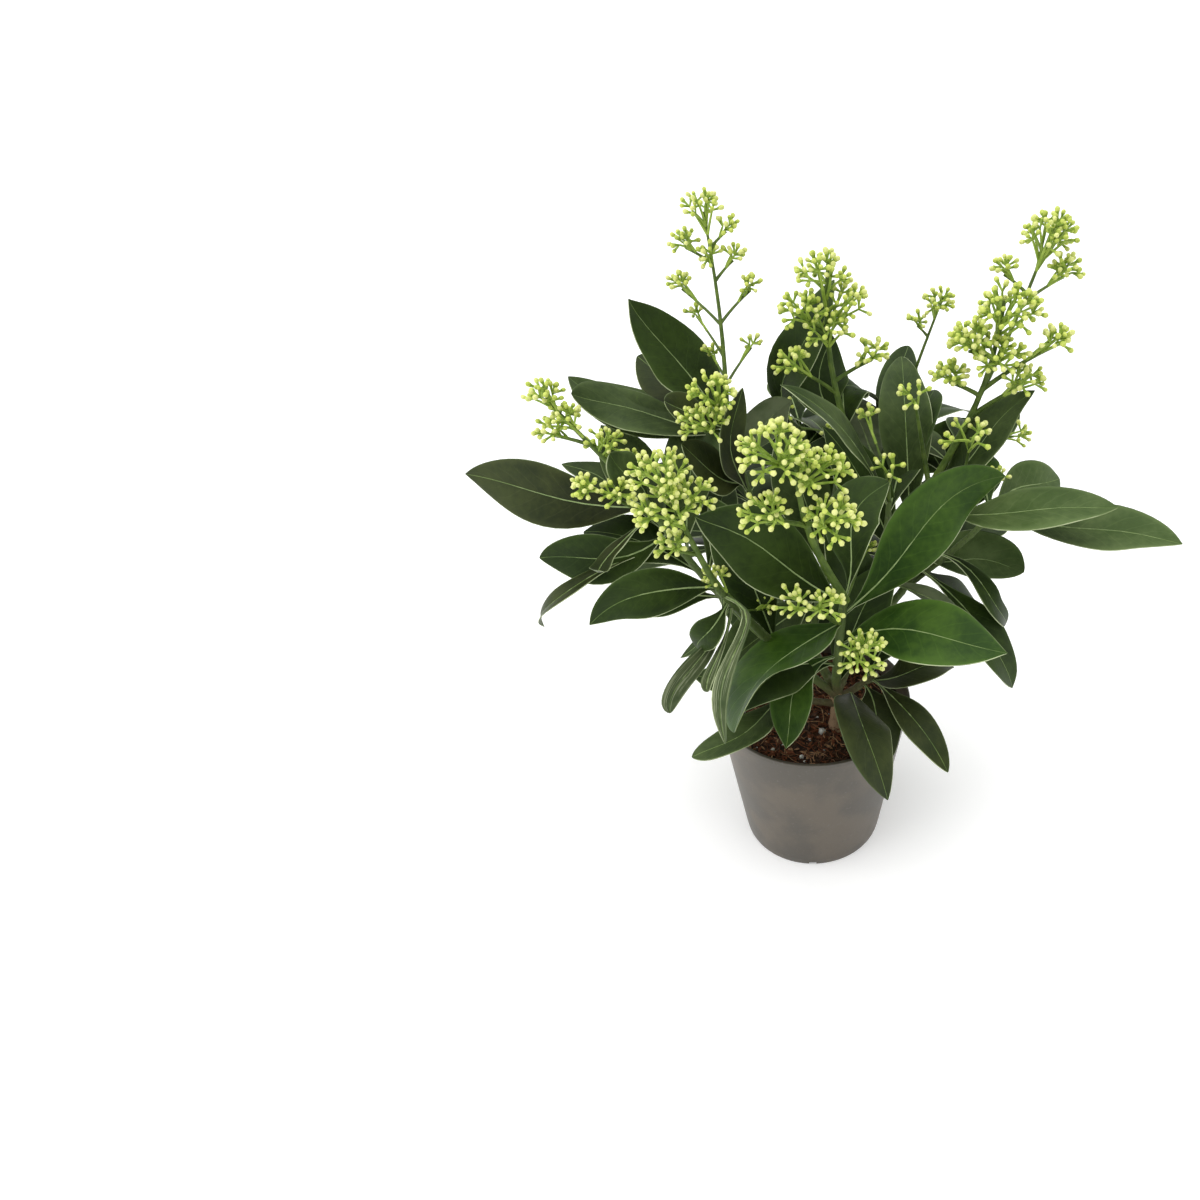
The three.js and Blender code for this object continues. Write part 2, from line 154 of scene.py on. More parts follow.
class Finish:
    """A material and its shader. What varies is worked out from signals."""

    def __init__(self, name, **steady):
        self.material = bpy.data.materials.new(name)
        self.material.use_nodes = True
        self.tree = self.material.node_tree
        self.shader = self.tree.nodes["Principled BSDF"]
        for socket, value in steady.items():
            self.give(self.shader.inputs[socket.replace("_", " ").title().replace("Ior", "IOR")], value)

    def give(self, socket, value):
        if isinstance(value, Signal):
            self.tree.links.new(value.socket, socket)
        elif isinstance(value, tuple) and len(value) == 3 and socket.type == "RGBA":
            socket.default_value = (*value, 1.0)
        else:
            socket.default_value = value

    def node(self, kind, settings, inputs, out=0):
        made = self.tree.nodes.new(kind)
        for key, value in settings.items():
            setattr(made, key, value)
        for key, value in inputs.items():
            self.give(made.inputs[key], value)
        return Signal(self, made.outputs[out])

    def mix(self, share, first, second):
        return self.node("ShaderNodeMix", {"data_type": "RGBA"}, {0: share, 6: first, 7: second}, 2)

    def clouds(self, where, scale, detail=3.0):
        return self.node("ShaderNodeTexNoise", {}, {"Vector": where, "Scale": scale, "Detail": detail})

    def step(self, value, low, high, top=1.0):
        """0 below low, this top above high, and smooth between."""
        ends = {"Value": value, "From Min": low, "From Max": high, "To Max": top}
        return self.node("ShaderNodeMapRange", {"interpolation_type": "SMOOTHSTEP"}, ends)

    def tint(self, base, other, signal, low, high, share=1.0):
        """The base colour, giving way to the other by this share as a signal goes from low to high."""
        return self.mix(self.step(signal, low, high, share), base, other)

    def where(self):
        return self.node("ShaderNodeTexCoord", {}, {}, "Object")

    def relief(self, height, depth_mm):
        """Pushes the surface in and out by a height from 0 to 1, this many millimetres deep."""
        ends = {"Height": height, "Distance": depth_mm * MM, "Strength": 1.0}
        self.give(self.shader.inputs["Normal"], self.node("ShaderNodeBump", {}, ends))

    def colour(self, value):
        self.give(self.shader.inputs["Base Color"], value)

    def roughness(self, value):
        self.give(self.shader.inputs["Roughness"], value)


PAPER_GREY, PAPER_GLOW = 0.90, 0.21
paper = Finish(
    "floor_paper", base_color=(PAPER_GREY,) * 3, roughness=0.9, specular_ior_level=0.1,
    emission_color=(1.0, 1.0, 1.0), emission_strength=PAPER_GLOW,
)
floor.data.materials.append(paper.material)
print("floor finish ready")

# %% [markdown]
# ## Helpers for modelling
# Big pieces are modelled with operators. An operator works on everything that is selected, so there is a
# helper that clears the selection and one that picks a single piece. Others open and close a mesh for
# editing, and one gives a finished piece its name, finish and body and hides the CAD nodes that it
# stands for.

# %% Piece helpers
def start_fresh():
    bpy.ops.object.select_all(action="DESELECT")


def pick(piece):
    start_fresh()
    piece.select_set(True)
    bpy.context.view_layer.objects.active = piece


def smooth(piece, crease):
    """Shades a piece smooth, apart from edges sharper than this many degrees."""
    pick(piece)
    bpy.ops.object.shade_smooth_by_angle(angle=math.radians(crease))


def settle_place(piece):
    """Moves an object's place into its mesh."""
    pick(piece)
    bpy.ops.object.transform_apply(location=True, rotation=True, scale=True)


def apply_modifiers(piece):
    bpy.context.view_layer.objects.active = piece
    for modifier in list(piece.modifiers):
        bpy.ops.object.modifier_apply(modifier=modifier.name)


def open_mesh():
    """Edit mode on the active object, with all of its mesh selected."""
    bpy.ops.object.mode_set(mode="EDIT")
    bpy.ops.mesh.select_all(action="SELECT")


def close_outwards():
    """Back to object mode, with every face turned outwards."""
    bpy.ops.mesh.select_all(action="SELECT")
    bpy.ops.mesh.normals_make_consistent(inside=False)
    bpy.ops.object.mode_set(mode="OBJECT")


def finish_piece(piece, name, nodes, finishes):
    piece.name = name
    piece.data.name = name
    for finish in finishes:
        piece.data.materials.append(finish.material)
    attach(piece, "root")
    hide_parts(*nodes)
    triangles = sum(len(face.vertices) - 2 for face in piece.data.polygons)
    print(f"{name}: {triangles} triangles in place of {len(nodes)} nodes")


# %% [markdown]
# Small things come in hundreds. Each kind is modelled once, read as a plain shape, and laid many times into
# a heap, which becomes one mesh at the end. A mesh from arrays is much quicker than hundreds of objects
# and needs no instances.

# %% Shapes and heaps
def mesh_points(mesh):
    points = np.empty(len(mesh.vertices) * 3)
    mesh.vertices.foreach_get("co", points)
    return points.reshape(-1, 3)


class Shape:
    """A modelled object read into arrays, after which the object is gone."""

    def __init__(self, piece):
        mesh = piece.data
        self.points = mesh_points(mesh)
        self.faces = [tuple(face.vertices) for face in mesh.polygons]
        self.middles = np.array([face.center for face in mesh.polygons])
        bpy.data.objects.remove(piece)


class Heap:
    """Copies of shapes, in millimetres, that become one mesh."""

    def __init__(self):
        self.points, self.faces, self.slots, self.uvs = [], [], [], []
        self.count = 0

    def lay(self, points, faces, slots, uvs=None):
        first = self.count
        self.points.append(points)
        self.faces.extend(tuple(first + corner for corner in face) for face in faces)
        self.slots.extend([slots] * len(faces) if isinstance(slots, int) else slots)
        self.uvs.append(np.zeros((len(points), 2)) if uvs is None else uvs)
        self.count += len(points)

    def piece(self, name, crease):
        mesh = bpy.data.meshes.new(name)
        mesh.from_pydata((np.concatenate(self.points) * MM).tolist(), [], self.faces)
        mesh.polygons.foreach_set("material_index", self.slots)
        corners = np.empty(len(mesh.loops), dtype=np.int32)
        mesh.loops.foreach_get("vertex_index", corners)
        places = np.concatenate(self.uvs)[corners]
        mesh.uv_layers.new(name="blade").data.foreach_set("uv", places.ravel())
        made = bpy.data.objects.new(name, mesh)
        bpy.context.scene.collection.objects.link(made)
        smooth(made, crease)
        return made


def unit(vector):
    vector = np.asarray(vector, dtype=float)
    return vector / np.linalg.norm(vector, axis=-1, keepdims=True)


def aim(bearing, rise):
    """The direction of a bearing (0 is +X, 90 is away from the viewer) and a rise, in degrees."""
    turn, lift = math.radians(bearing), math.radians(rise)
    return np.array([math.cos(lift) * math.cos(turn), math.cos(lift) * math.sin(turn), math.sin(lift)])


def lay_tube(heap, path, radii, sides, slot):
    """A closed round tube along a path."""
    path = np.asarray(path, dtype=float)
    ahead = unit(np.gradient(path, axis=0))
    first = np.cross(ahead[0], [0.0, 0.0, 1.0])
    if np.linalg.norm(first) < 1e-3:
        first = np.array([1.0, 0.0, 0.0])
    rings = []
    for place, forward, radius in zip(path, ahead, radii):
        first = unit(first - forward * np.dot(first, forward))
        second = np.cross(forward, first)
        turn = 2 * math.pi * np.arange(sides)[:, None] / sides
        rings.append(place + radius * (np.cos(turn) * first + np.sin(turn) * second))
    faces = [tuple(reversed(range(sides)))]
    for ring in range(len(path) - 1):
        for side in range(sides):
            a, b = ring * sides + side, ring * sides + (side + 1) % sides
            faces.append((a, b, b + sides, a + sides))
    faces.append(tuple((len(path) - 1) * sides + side for side in range(sides)))
    heap.lay(np.concatenate(rings), faces, slot)


print("helpers ready")

# %% [markdown]
# ## The pot
# A thin moulded pot of matte grey-brown plastic, with a low lip around its wide rim and drain slots at its
# narrow foot. It could be spun from an outline; extruding a disc upwards and scaling each new ring gives the
# same wall and keeps one even ring of faces all the way, which takes a bevel well.

# %% Pot sizes
POT_HEIGHT, POT_RIM, POT_BASE, POT_WALL = 113.0, 65.0, 47.5, 1.4
RIM_REACH, LIP_STEP, LIP_HEIGHT = 1.6, 0.7, 3.0
FOOT_ROUND = 1.2
SOIL_LEVEL = 103.0
POT_SIDES = 96


def pot_radius(height):
    return POT_BASE + (POT_RIM - RIM_REACH - POT_BASE) * height / POT_HEIGHT


wall_top, lip_foot = pot_radius(POT_HEIGHT), POT_HEIGHT - LIP_HEIGHT
POT_OUTLINE = [
    (POT_BASE - 0.3, 0.3),
    (POT_BASE, 1.1),
    *[(pot_radius(h), h) for h in np.linspace(6, lip_foot - 0.6, 14)],
    (wall_top + LIP_STEP - 0.15, lip_foot),
    (wall_top + LIP_STEP, POT_HEIGHT - 0.4),
    (wall_top + LIP_STEP - 0.35, POT_HEIGHT),
    (wall_top - POT_WALL + 0.3, POT_HEIGHT),
    (wall_top - POT_WALL, POT_HEIGHT - 0.5),
    *[(pot_radius(h) - POT_WALL, h) for h in np.linspace(POT_HEIGHT - 8, POT_WALL + 2, 6)],
    (POT_BASE - POT_WALL - 1.0, POT_WALL),
]
print("pot outline of", len(POT_OUTLINE), "rings")

# %% Raise the pot from a disc
radius, height = POT_BASE - FOOT_ROUND, 0.0
start_fresh()
bpy.ops.mesh.primitive_circle_add(vertices=POT_SIDES, radius=radius * MM, fill_type="NGON")
pot = bpy.context.object
open_mesh()
for next_radius, next_height in POT_OUTLINE:
    bpy.ops.mesh.extrude_region_move(TRANSFORM_OT_translate={"value": (0, 0, (next_height - height) * MM)})
    widen = next_radius / radius
    bpy.ops.transform.resize(value=(widen, widen, 1.0))
    radius, height = next_radius, next_height
close_outwards()
print("pot raised to", round(height, 1), "mm inside, faces:", len(pot.data.polygons))

# %% [markdown]
# The drain slots are cut with boxes. Each box is modelled at the foot of the wall and subtracted with a
# Boolean modifier, as a mould's core would leave them.

# %% Drain slots
SLOT_COUNT, SLOT_SIZE = 4, (12, 5, 4.8)
for number in range(SLOT_COUNT):
    start_fresh()
    turn = 2 * math.pi * number / SLOT_COUNT - math.pi / 2
    place = (POT_BASE * math.cos(turn) * MM, POT_BASE * math.sin(turn) * MM, 0.0)
    bpy.ops.mesh.primitive_cube_add(size=1.0, location=place, rotation=(0, 0, turn))
    core = bpy.context.object
    core.scale = [side * MM for side in SLOT_SIZE]
    settle_place(core)
    cut = pot.modifiers.new("slot", "BOOLEAN")
    cut.operation = "DIFFERENCE"
    cut.object = core
    apply_modifiers(pot)
    bpy.data.objects.remove(core)
smooth(pot, 35)
print("pot faces after the slots:", len(pot.data.polygons))

# %% [markdown]
# Nursery plastic is matte but not even: it has broad warm and cool patches from recycled stock, a fine
# grain from the mould, and pale scuffs. Each is a noise at its own size, and the finer ones lift it too.

# %% Pot finish
pot_plastic = Finish("pot_plastic", specular_ior_level=0.6)
where = pot_plastic.where()
patches = pot_plastic.clouds(where, 26.0, 4.0)
specks = pot_plastic.clouds(where, 520.0, 2.0)
grain = pot_plastic.clouds(where, 1900.0, 2.0)
body = pot_plastic.tint((0.054, 0.045, 0.030), (0.090, 0.071, 0.047), patches, 0.40, 0.60)
speckled = pot_plastic.tint(body, (0.045, 0.040, 0.036), specks, 0.62, 0.80, 0.55)
pot_plastic.colour(pot_plastic.tint(speckled, (0.13, 0.118, 0.105), specks, 0.40, 0.22, 0.35))
pot_plastic.roughness(0.34 + patches * 0.18)
pot_plastic.relief(grain * 0.6 + specks * 0.4, 0.05)
finish_piece(pot, "pot_shell", ["pot"], [pot_plastic])

# %% [markdown]
# ## The growing medium
# Moist bark and coir with a few grains of white perlite. The plug under it is one closed body whose top is
# inset into rings and heaved by noise. On top lie loose chips and fibres, since a bump alone has no edges
# to catch the light.

# %% Plug of medium
def ground_height(x, y):
    """How far the medium stands above its mean level, in millimetres."""
    broad = noise.noise(Vector((x * 0.035, y * 0.035, 1.7))) * 2.6
    fine = noise.noise(Vector((x * 0.16, y * 0.16, 5.1))) * 1.1
    reach = math.hypot(x, y) / 60.0
    return broad + fine - 2.2 * reach**3 - 0.6


PLUG_GAP, PLUG_FOOT, PLUG_SIDES, PLUG_RINGS = POT_WALL + 0.4, 2.2, 72, 18
low_radius, top_radius = pot_radius(4) - PLUG_GAP, pot_radius(SOIL_LEVEL) - PLUG_GAP
start_fresh()
bpy.ops.mesh.primitive_circle_add(
    vertices=PLUG_SIDES, radius=low_radius * MM, fill_type="NGON", location=(0, 0, PLUG_FOOT * MM)
)
plug = bpy.context.object
settle_place(plug)
open_mesh()
bpy.ops.mesh.extrude_region_move(TRANSFORM_OT_translate={"value": (0, 0, (SOIL_LEVEL - PLUG_FOOT) * MM)})
bpy.ops.transform.resize(value=(top_radius / low_radius, top_radius / low_radius, 1.0))
for _ in range(PLUG_RINGS - 1):
    bpy.ops.mesh.inset(thickness=top_radius / PLUG_RINGS * MM)
close_outwards()
for vertex in plug.data.vertices:
    if vertex.co.z > (SOIL_LEVEL - 1) * MM:
        vertex.co.z += ground_height(vertex.co.x / MM, vertex.co.y / MM) * MM
smooth(plug, 60)
print("plug faces:", len(plug.data.polygons))

# %% Medium finishes
def crumb_finish(name, dark, light, scale):
    finish = Finish(name, specular_ior_level=0.25)
    place = finish.where()
    lumps = finish.clouds(place, scale, 4.0)
    finish.colour(finish.tint(dark, light, lumps, 0.35, 0.68))
    finish.roughness(0.78 + lumps * 0.2)
    finish.relief(lumps, 0.4)
    return finish


peat = crumb_finish("damp_peat", (0.014, 0.008, 0.005), (0.060, 0.026, 0.013), 420.0)
red_fibre = crumb_finish("red_bark_fibre", (0.075, 0.024, 0.010), (0.210, 0.072, 0.030), 300.0)
brown_chip = crumb_finish("brown_bark_chip", (0.030, 0.016, 0.010), (0.110, 0.052, 0.028), 300.0)
tan_fibre = crumb_finish("tan_coir_fibre", (0.20, 0.105, 0.050), (0.42, 0.25, 0.14), 300.0)
perlite = crumb_finish("pale_perlite", (0.42, 0.42, 0.39), (0.68, 0.68, 0.64), 700.0)
finish_piece(plug, "medium_plug", ["growing_medium"], [peat])

# %% [markdown]
# The chip is a cube squashed flat, with two of its corners sliced off by a bisect, which leaves the
# splintered ends that milled bark has. A perlite grain is a coarse ball. The chips are laid by the hundred
# at random turns, with thin tubes between them for the fibres.

# %% Loose chips, fibres and grains
start_fresh()
bpy.ops.mesh.primitive_cube_add(size=2.0)
chip_object = bpy.context.object
open_mesh()
bpy.ops.transform.resize(value=(1.0, 0.42, 0.16))
bpy.ops.mesh.bisect(plane_co=(0.55, 0.10, 0.0), plane_no=(0.8, 0.6, 0.1), use_fill=True, clear_outer=True)
bpy.ops.mesh.select_all(action="SELECT")
bpy.ops.mesh.bisect(plane_co=(-0.5, -0.05, 0.0), plane_no=(-0.7, -0.7, 0.2), use_fill=True, clear_outer=True)
bpy.ops.object.mode_set(mode="OBJECT")
chip = Shape(chip_object)
bpy.ops.mesh.primitive_ico_sphere_add(subdivisions=1, radius=1.0)
grain_ball = Shape(bpy.context.object)

dice = random.Random(31)


def random_turn():
    """A rotation matrix for something that has fallen flat, more or less."""
    spin, tilt, lean = dice.uniform(0, 2 * math.pi), dice.gauss(0, 0.35), dice.gauss(0, 0.35)
    about_z = np.array([[math.cos(spin), -math.sin(spin), 0], [math.sin(spin), math.cos(spin), 0], [0, 0, 1]])
    about_x = np.array([[1, 0, 0], [0, math.cos(tilt), -math.sin(tilt)], [0, math.sin(tilt), math.cos(tilt)]])
    about_y = np.array([[math.cos(lean), 0, math.sin(lean)], [0, 1, 0], [-math.sin(lean), 0, math.cos(lean)]])
    return about_z @ about_x @ about_y


def spot_on_medium(margin):
    reach = (top_radius - margin) * math.sqrt(dice.random())
    turn = dice.uniform(0, 2 * math.pi)
    x, y = reach * math.cos(turn), reach * math.sin(turn)
    return np.array([x, y, SOIL_LEVEL + ground_height(x, y)])


CHIPS, FIBRES, FIBRE_STEPS, GRAINS = 1150, 620, 5, 46
LARGE_GRAINS = [(6.0, -24.0, 2.6), (-7.0, -46.0, 1.7)]
litter = Heap()
for _ in range(CHIPS):
    long = dice.uniform(1.0, 3.4) * (1.5 if dice.random() < 0.12 else 1.0)
    size = np.array([long, long * dice.uniform(0.5, 1.0), long * dice.uniform(0.5, 1.2)])
    spot = spot_on_medium(long + 1.0) + [0, 0, dice.uniform(-0.3, 1.0)]
    litter.lay(chip.points * size @ random_turn().T + spot, chip.faces, dice.choice([0, 0, 1, 1, 2]))
for _ in range(FIBRES):
    spot = spot_on_medium(5.0) + [0, 0, dice.uniform(0.2, 1.9)]
    turn, bend, long = dice.uniform(0, 2 * math.pi), dice.gauss(0, 1.1), dice.uniform(4, 15)
    path = [spot]
    for _ in range(FIBRE_STEPS):
        turn += bend / FIBRE_STEPS + dice.gauss(0, 0.22)
        ahead = np.array([math.cos(turn), math.sin(turn), dice.gauss(0.0, 0.16)])
        path.append(path[-1] + long / FIBRE_STEPS * ahead)
    if max(math.hypot(p[0], p[1]) for p in path) < top_radius - 1.0:
        radii = dice.uniform(0.16, 0.42) * np.array([1, 1, 1, 0.9, 0.8, 0.5])
        lay_tube(litter, path, radii, 4, dice.choice([0, 0, 2]))
for _ in range(GRAINS):
    size = dice.uniform(0.6, 1.6)
    spot = spot_on_medium(4.0) + [0, 0, size * 0.4]
    litter.lay(grain_ball.points * size * [1, 0.8, 0.8] + spot, grain_ball.faces, 3)
for x, y, size in LARGE_GRAINS:
    spot = [x, y, SOIL_LEVEL + ground_height(x, y) + size * 0.5]
    litter.lay(grain_ball.points * size + spot, grain_ball.faces, 3)
crumbs = litter.piece("medium_litter", 30.0)
crumb_finishes = [red_fibre, brown_chip, tan_fibre, perlite]
finish_piece(crumbs, "medium_litter", ["growing_medium"], crumb_finishes)

# %% [markdown]
# ## How the plant grows
# The plant is a table of shoots. Each shoot is a limb from its parent, through a bend, to its top. A leaf
# row says how many millimetres below the top it sits, its bearing and rise in degrees, its length, width
# and arch, and its roll. A row may go on with the leaf's own shape: where it is widest, how blunt its tip
# is, and its sideways bend, double bend, twist and hook. The limbs follow the CAD solids, and the leaves
# stay near the blades that they replace.
#
# This table is not a hand-made one throughout: the thirteen-number rows were fitted to leaf outlines by a
# separate least-squares program. A table written for reading would have round values chosen by eye.

# %% Shoots
Shoot = namedtuple("Shoot", "parent at bend top radii leaves")
SHOOTS = {
    "front": Shoot("trunk", 0.98, (14, -31, 165), (18, -30, 214), (3.1, 2.4), [
        (2, 53, 54, 72, 35, 3, 3, 0.66, 0.7, -9.2, 4.8, -0.9, -0.3),
        (4, -165, 41, 107, 43, -4, -56, 0.52, 0.9, 13.5, -4.2, -9, -7.9),
        (13, 24, 34, 123, 40, 19, 66, 0.58, 0.75, 10.9, 3.7, 22, 5.5),
        (18, -128, -10, 96, 62, 7, 20, 0.5, 0.8, 11.8, -2.6, 51.5, -0.9),
        (36, -29, 18, 106, 43, 8, 24, 0.52, 0.95, -7.1, -1.7, 8.1, -4.3),
        (46, -121, -25, 66, 26, 5, -8, 0.56, 0.95, 13.6, 2, -0.3, -7.5),
        (56, -145, -3, 68, 33, 8, -25, 0.56, 0.95, 6.1, -0.6, 0.6, 0.9),
    ]),
    "left_front": Shoot("trunk", 0.85, (-20, -30, 172), (-52, -46, 232), (2.8, 2.2), [
        (0, -162, -7, 71, 27, 18, -67, 0.52, 0.8, -7.7, -0.9, -2.8, 0.7),
        (7, -143, -58, 77, 15, 7, -78, 0.68, 0.55, -17.5, -1.1, -4.4, 12.2),
        (7, -87, -28, 85, 11, 13, 34, 0.62, 0.6, -9.5, -8, 9.7, 10.1),
        (15, -100, -16, 59, 7, -11, 7, 0.66, 0.7, 5, -2.2, -1.1, -5.5),
        (16, -176, -49, 49, 9, 1, -26, 0.6, 0.9, -2.3, -0.3, 1, -1.4),
        (12, -154, -52, 34, 18, 10, -34, 0.6, 0.6, -11, -0.2, -2.8, 3),
    ]),
    "left": Shoot("left_front", 0.35, (-60, -8, 196), (-95, 2, 258), (2.4, 2.0), [
        (3, -137, 63, 46, 27, 3, -59, 0.62, 0.65, 0.1, 2.1, -2.2, -1.1),
        (7, -112, -3, 59, 12, -4, 5, 0.66, 0.6, 12.4, -1.8, 1.3, -7.9),
        (4, 148, 8, 68, 22, 1, -11, 0.6, 0.8, 3.8, -3.1, 0.6, -2.6),
        (4, 161, 0, 125, 39, 8, -74, 0.56, 0.85, -12.1, -1.2, -5.9, 1.1),
        (22, -179, -12, 79, 31, 5, -71, 0.58, 0.75, -14.1, -1.6, -6.9, 2.3),
        (30, 177, -36, 110, 15, 8, -4, 0.6, 0.8, -18, 8.8, -21.5, 14),
        (34, 120, 5, 85, 32, 6, -20),
    ]),
    "back_left": Shoot("trunk", 0.9, (-26, 20, 195), (-50, 42, 286), (2.9, 2.2), [
        (2, -145, 36, 49, 23, 1, -45, 0.6, 0.65, 2.9, -1.8, 0, -4.5),
        (5, 163, 53, 94, 46, -4, -14, 0.52, 0.9, 15.3, -1.4, -7.2, -8.7),
        (6, 136, 17, 89, 34, 6, -32, 0.56, 0.7, -2.2, 0.5, -0.3, -0.9),
        (7, -176, 19, 94, 43, 2, -9, 0.6, 0.65, 12.8, -6, -9.6, -10.6),
        (14, 164, 18, 109, 28, 4, -37, 0.6, 0.75, -3.5, 1.3, 0.6, -5.6),
        (35, -139, 43, 58, 30, 0, -52, 0.6, 0.7, -6.9, -0.9, 4.1, 0.5),
        (43, -61, 92, 68, 23, 0, 24, 0.6, 0.75, -15.4, 2.6, -0.2, 4.6),
        (48, 150, -4, 92, 34, 8, -20),
    ]),
    "centre_back": Shoot("back_left", 0.2, (10, 46, 195), (20, 62, 276), (2.6, 2.2), [
        (7, 53, 14, 40, 33, 10, 18, 0.58, 0.8, -12.4, 3.1, -2, 5.3),
        (4, 101, 52, 61, 37, 1, 0, 0.6, 0.8, -11.7, 0.2, 0.4, -3.3),
        (16, 112, -12, 88, 34, 8, 10), (26, 165, 2, 90, 34, 8, -10),
    ]),
    "right_back": Shoot("trunk", 0.94, (40, 20, 170), (75, 50, 246), (3.0, 2.3), [
        (10, 9, 47, 89, 30, 0, 24, 0.55, 0.85, 1.3, 3.2, -5.9, 0.7),
        (29, 90, 38, 125, 30, 5, 5, 0.6, 0.6, -7.4, 3, 1, 3.7),
        (36, 92, 43, 119, 34, 11, 5, 0.56, 0.7, -2.1, 0.6, -0.3, 12.3),
        (23, 79, 38, 87, 29, 10, -17, 0.6, 0.7, -11.7, -3.5, -1.7, 7.3),
        (40, 40, 10, 90, 32, 6, 20),
    ]),
    "middle": Shoot("right_back", 0.5, (44, 20, 205), (46, 28, 244), (2.0, 1.8), [
        (2, -162, 52, 108, 24, 5, -25), (12, 75, 20, 85, 32, 6, 5),
    ]),
    "right": Shoot("right_back", 0.3, (62, 16, 185), (85, 28, 240), (2.6, 2.1), [
        (7, -20, 15, 99, 43, 15, 9, 0.56, 0.8, 7.1, 6, -10, -10.6),
        (37, 1, -10, 64, 42, -10, 20, 0.62, 0.65, -16.7, 3.5, -9.4, -1.8),
        (31, -8, -45, 74, 17, 12, 22, 0.6, 0.65, 13.1, -6.2, 5.8, 7.3),
        (44, 20, -47, 88, 29, 4, 30, 0.6, 0.8, -0.9, 0.5, -2.6, -4.2),
        (44, -23, -48, 102, 28, 9, 20, 0.62, 0.8, 4.5, -1.8, 1.2, 5.3),
    ]),
    "far_right": Shoot("right", 0.4, (98, 32, 212), (118, 46, 232), (2.1, 1.8), [
        (5, -30, 5, 112, 40, -1, 13, 0.58, 0.9, -2.3, 4.7, 5.2, -2.9),
        (5, -4, -11, 76, 13, 3, 29, 0.6, 0.8, -0.3, 0.9, -1.2, 1),
        (8, 48, -7, 85, 34, 1, 47, 0.6, 0.6, -4.3, -2.7, 8.5, 1.8),
        (10, 95, 5, 84, 32, 6, 10), (14, 40, -12, 70, 28, 6, 20),
    ]),
    "low_right": Shoot("trunk", 0.72, (26, -8, 124), (42, -3, 134), (2.6, 2.2), [
        (7, 1, 10, 55, 33, 6, -1, 0.55, 0.95, 11.2, 1.6, -2.9, 6.8),
        (5, -59, -9, 83, 20, 14, 17, 0.66, 0.7, 5.6, 0.1, -1.7, 4.8),
        (11, -74, -10, 58, 30, 5, 9, 0.6, 0.8, 1.7, -1.6, -0.1, -0.3),
        (21, -75, -14, 80, 40, 16, -35, 0.56, 0.8, 10.1, -0.8, 13, 9.3),
        (10, 60, 6, 80, 32, 6, 10),
    ]),
    "low_left": Shoot("trunk", 0.6, (-2, -18, 124), (-24, -25, 134), (2.2, 1.9), [
        (4, -138, -5, 69, 26, 5, 4, 0.58, 0.65, -15.5, 2.6, 1.7, 5.3),
        (8, 165, 4, 62, 28, 4, -20),
    ]),
}
print(len(SHOOTS), "shoots seen from the front")

# %% [markdown]
# The rear of the plant follows the same habit, with its leaves spread evenly over an arc of bearings and
# the lower ones drooping more. Older leaves stay on lower down, in the shade of the whorls, and close the
# crown between the boughs. A separate program that searched at random for leaves to fill gaps chose these.

# %% Rear shoots
def fan(count, first, last, rise, drop, length, width):
    rows = []
    for number in range(count):
        rank = (number * (count - 1) + 1) % count
        bearing = first + (last - first) * rank / (count - 1)
        below, shorter = 3 + 34 * number / count, 4 * (number % 3)
        rows.append((below, bearing, rise - drop * number, length - shorter, width, 6, 0))
    return rows


SHOOTS.update({
    "rear_left": Shoot("centre_back", 0.4, (0, 78, 215), (-8, 88, 264), (2.2, 1.8), [
        (11, 40, 76, 103, 30, 18, 16, 0.6, 0.8, 3.2, -8.6, -9.8, 10.9),
        (3, 100, 2, 74, 34, 6, 0),
        *fan(3, 70, 165, 8, 12, 86, 36)[1:],
    ]),
    "rear_mid": Shoot("centre_back", 0.25, (36, 90, 180), (50, 112, 232), (2.3, 1.8), [
        (8, -150, 56, 71, 35, -2, 42, 0.6, 0.55, -4.3, 2.2, 4.7, 1.7),
        (11, 43, 8, 94, 36, 11, -5, 0.6, 0.8, -11.7, 0.1, -0.3, 4.8),
        (6, 95, -4, 90, 38, 6, 0),
        *fan(4, 50, 165, 24, 14, 96, 38)[2:],
    ]),
    "rear_right": Shoot("right_back", 0.4, (80, 60, 205), (95, 85, 260), (2.3, 1.9), [
        (3, 43, -3, 64, 28, 1, -9, 0.6, 0.8, -1.9, 0.9, -1.4, -9),
        (11, 75, -12, 84, 34, 6, 0),
        *fan(4, 38, 120, 14, 11, 90, 34)[2:],
    ]),
    "rear_low_left": Shoot("back_left", 0.28, (-40, 60, 165), (-58, 92, 198), (2.3, 1.8), [
        *fan(4, 75, 165, 12, 12, 94, 36),
    ]),
    "rear_low_right": Shoot("right_back", 0.22, (45, 55, 150), (70, 92, 176), (2.3, 1.8), [
        *fan(4, 28, 128, 8, 12, 94, 36),
    ]),
})
OLDER = {
    "front": [(105, 31, 62, 97, 38, 7, 44)],
    "left_front": [(64, 142, 61, 98, 37, 4, -49)],
    "left": [(54, 158, 8, 81, 34, 7, -32), (40, 82, 49, 97, 37, 5, -11), (32, 128, 29, 95, 34, 3, -14),
             (72, -170, -1, 61, 24, 3, -58), (58, 77, 34, 68, 24, 5, 30)],
    "back_left": [(24, 15, 49, 50, 37, 3, -64)],
    "centre_back": [(93, 125, 63, 98, 38, 2, -17), (107, -137, -11, 85, 38, 2, -41)],
    "right_back": [(54, 153, 56, 96, 37, 7, -52), (110, 164, 72, 84, 35, 7, -39)],
    "middle": [(55, -30, -13, 61, 37, 4, -56)],
    "low_left": [(17, 146, 43, 86, 29, 4, -63)],
    "rear_mid": [(18, 28, 10, 98, 37, 5, 67), (50, 135, 33, 89, 35, 7, -59)],
    "rear_low_left": [(66, 81, 35, 76, 35, 7, 30), (26, -162, -5, 96, 23, 5, 0)],
    "rear_low_right": [(51, -160, -5, 83, 36, 6, -31)],
}
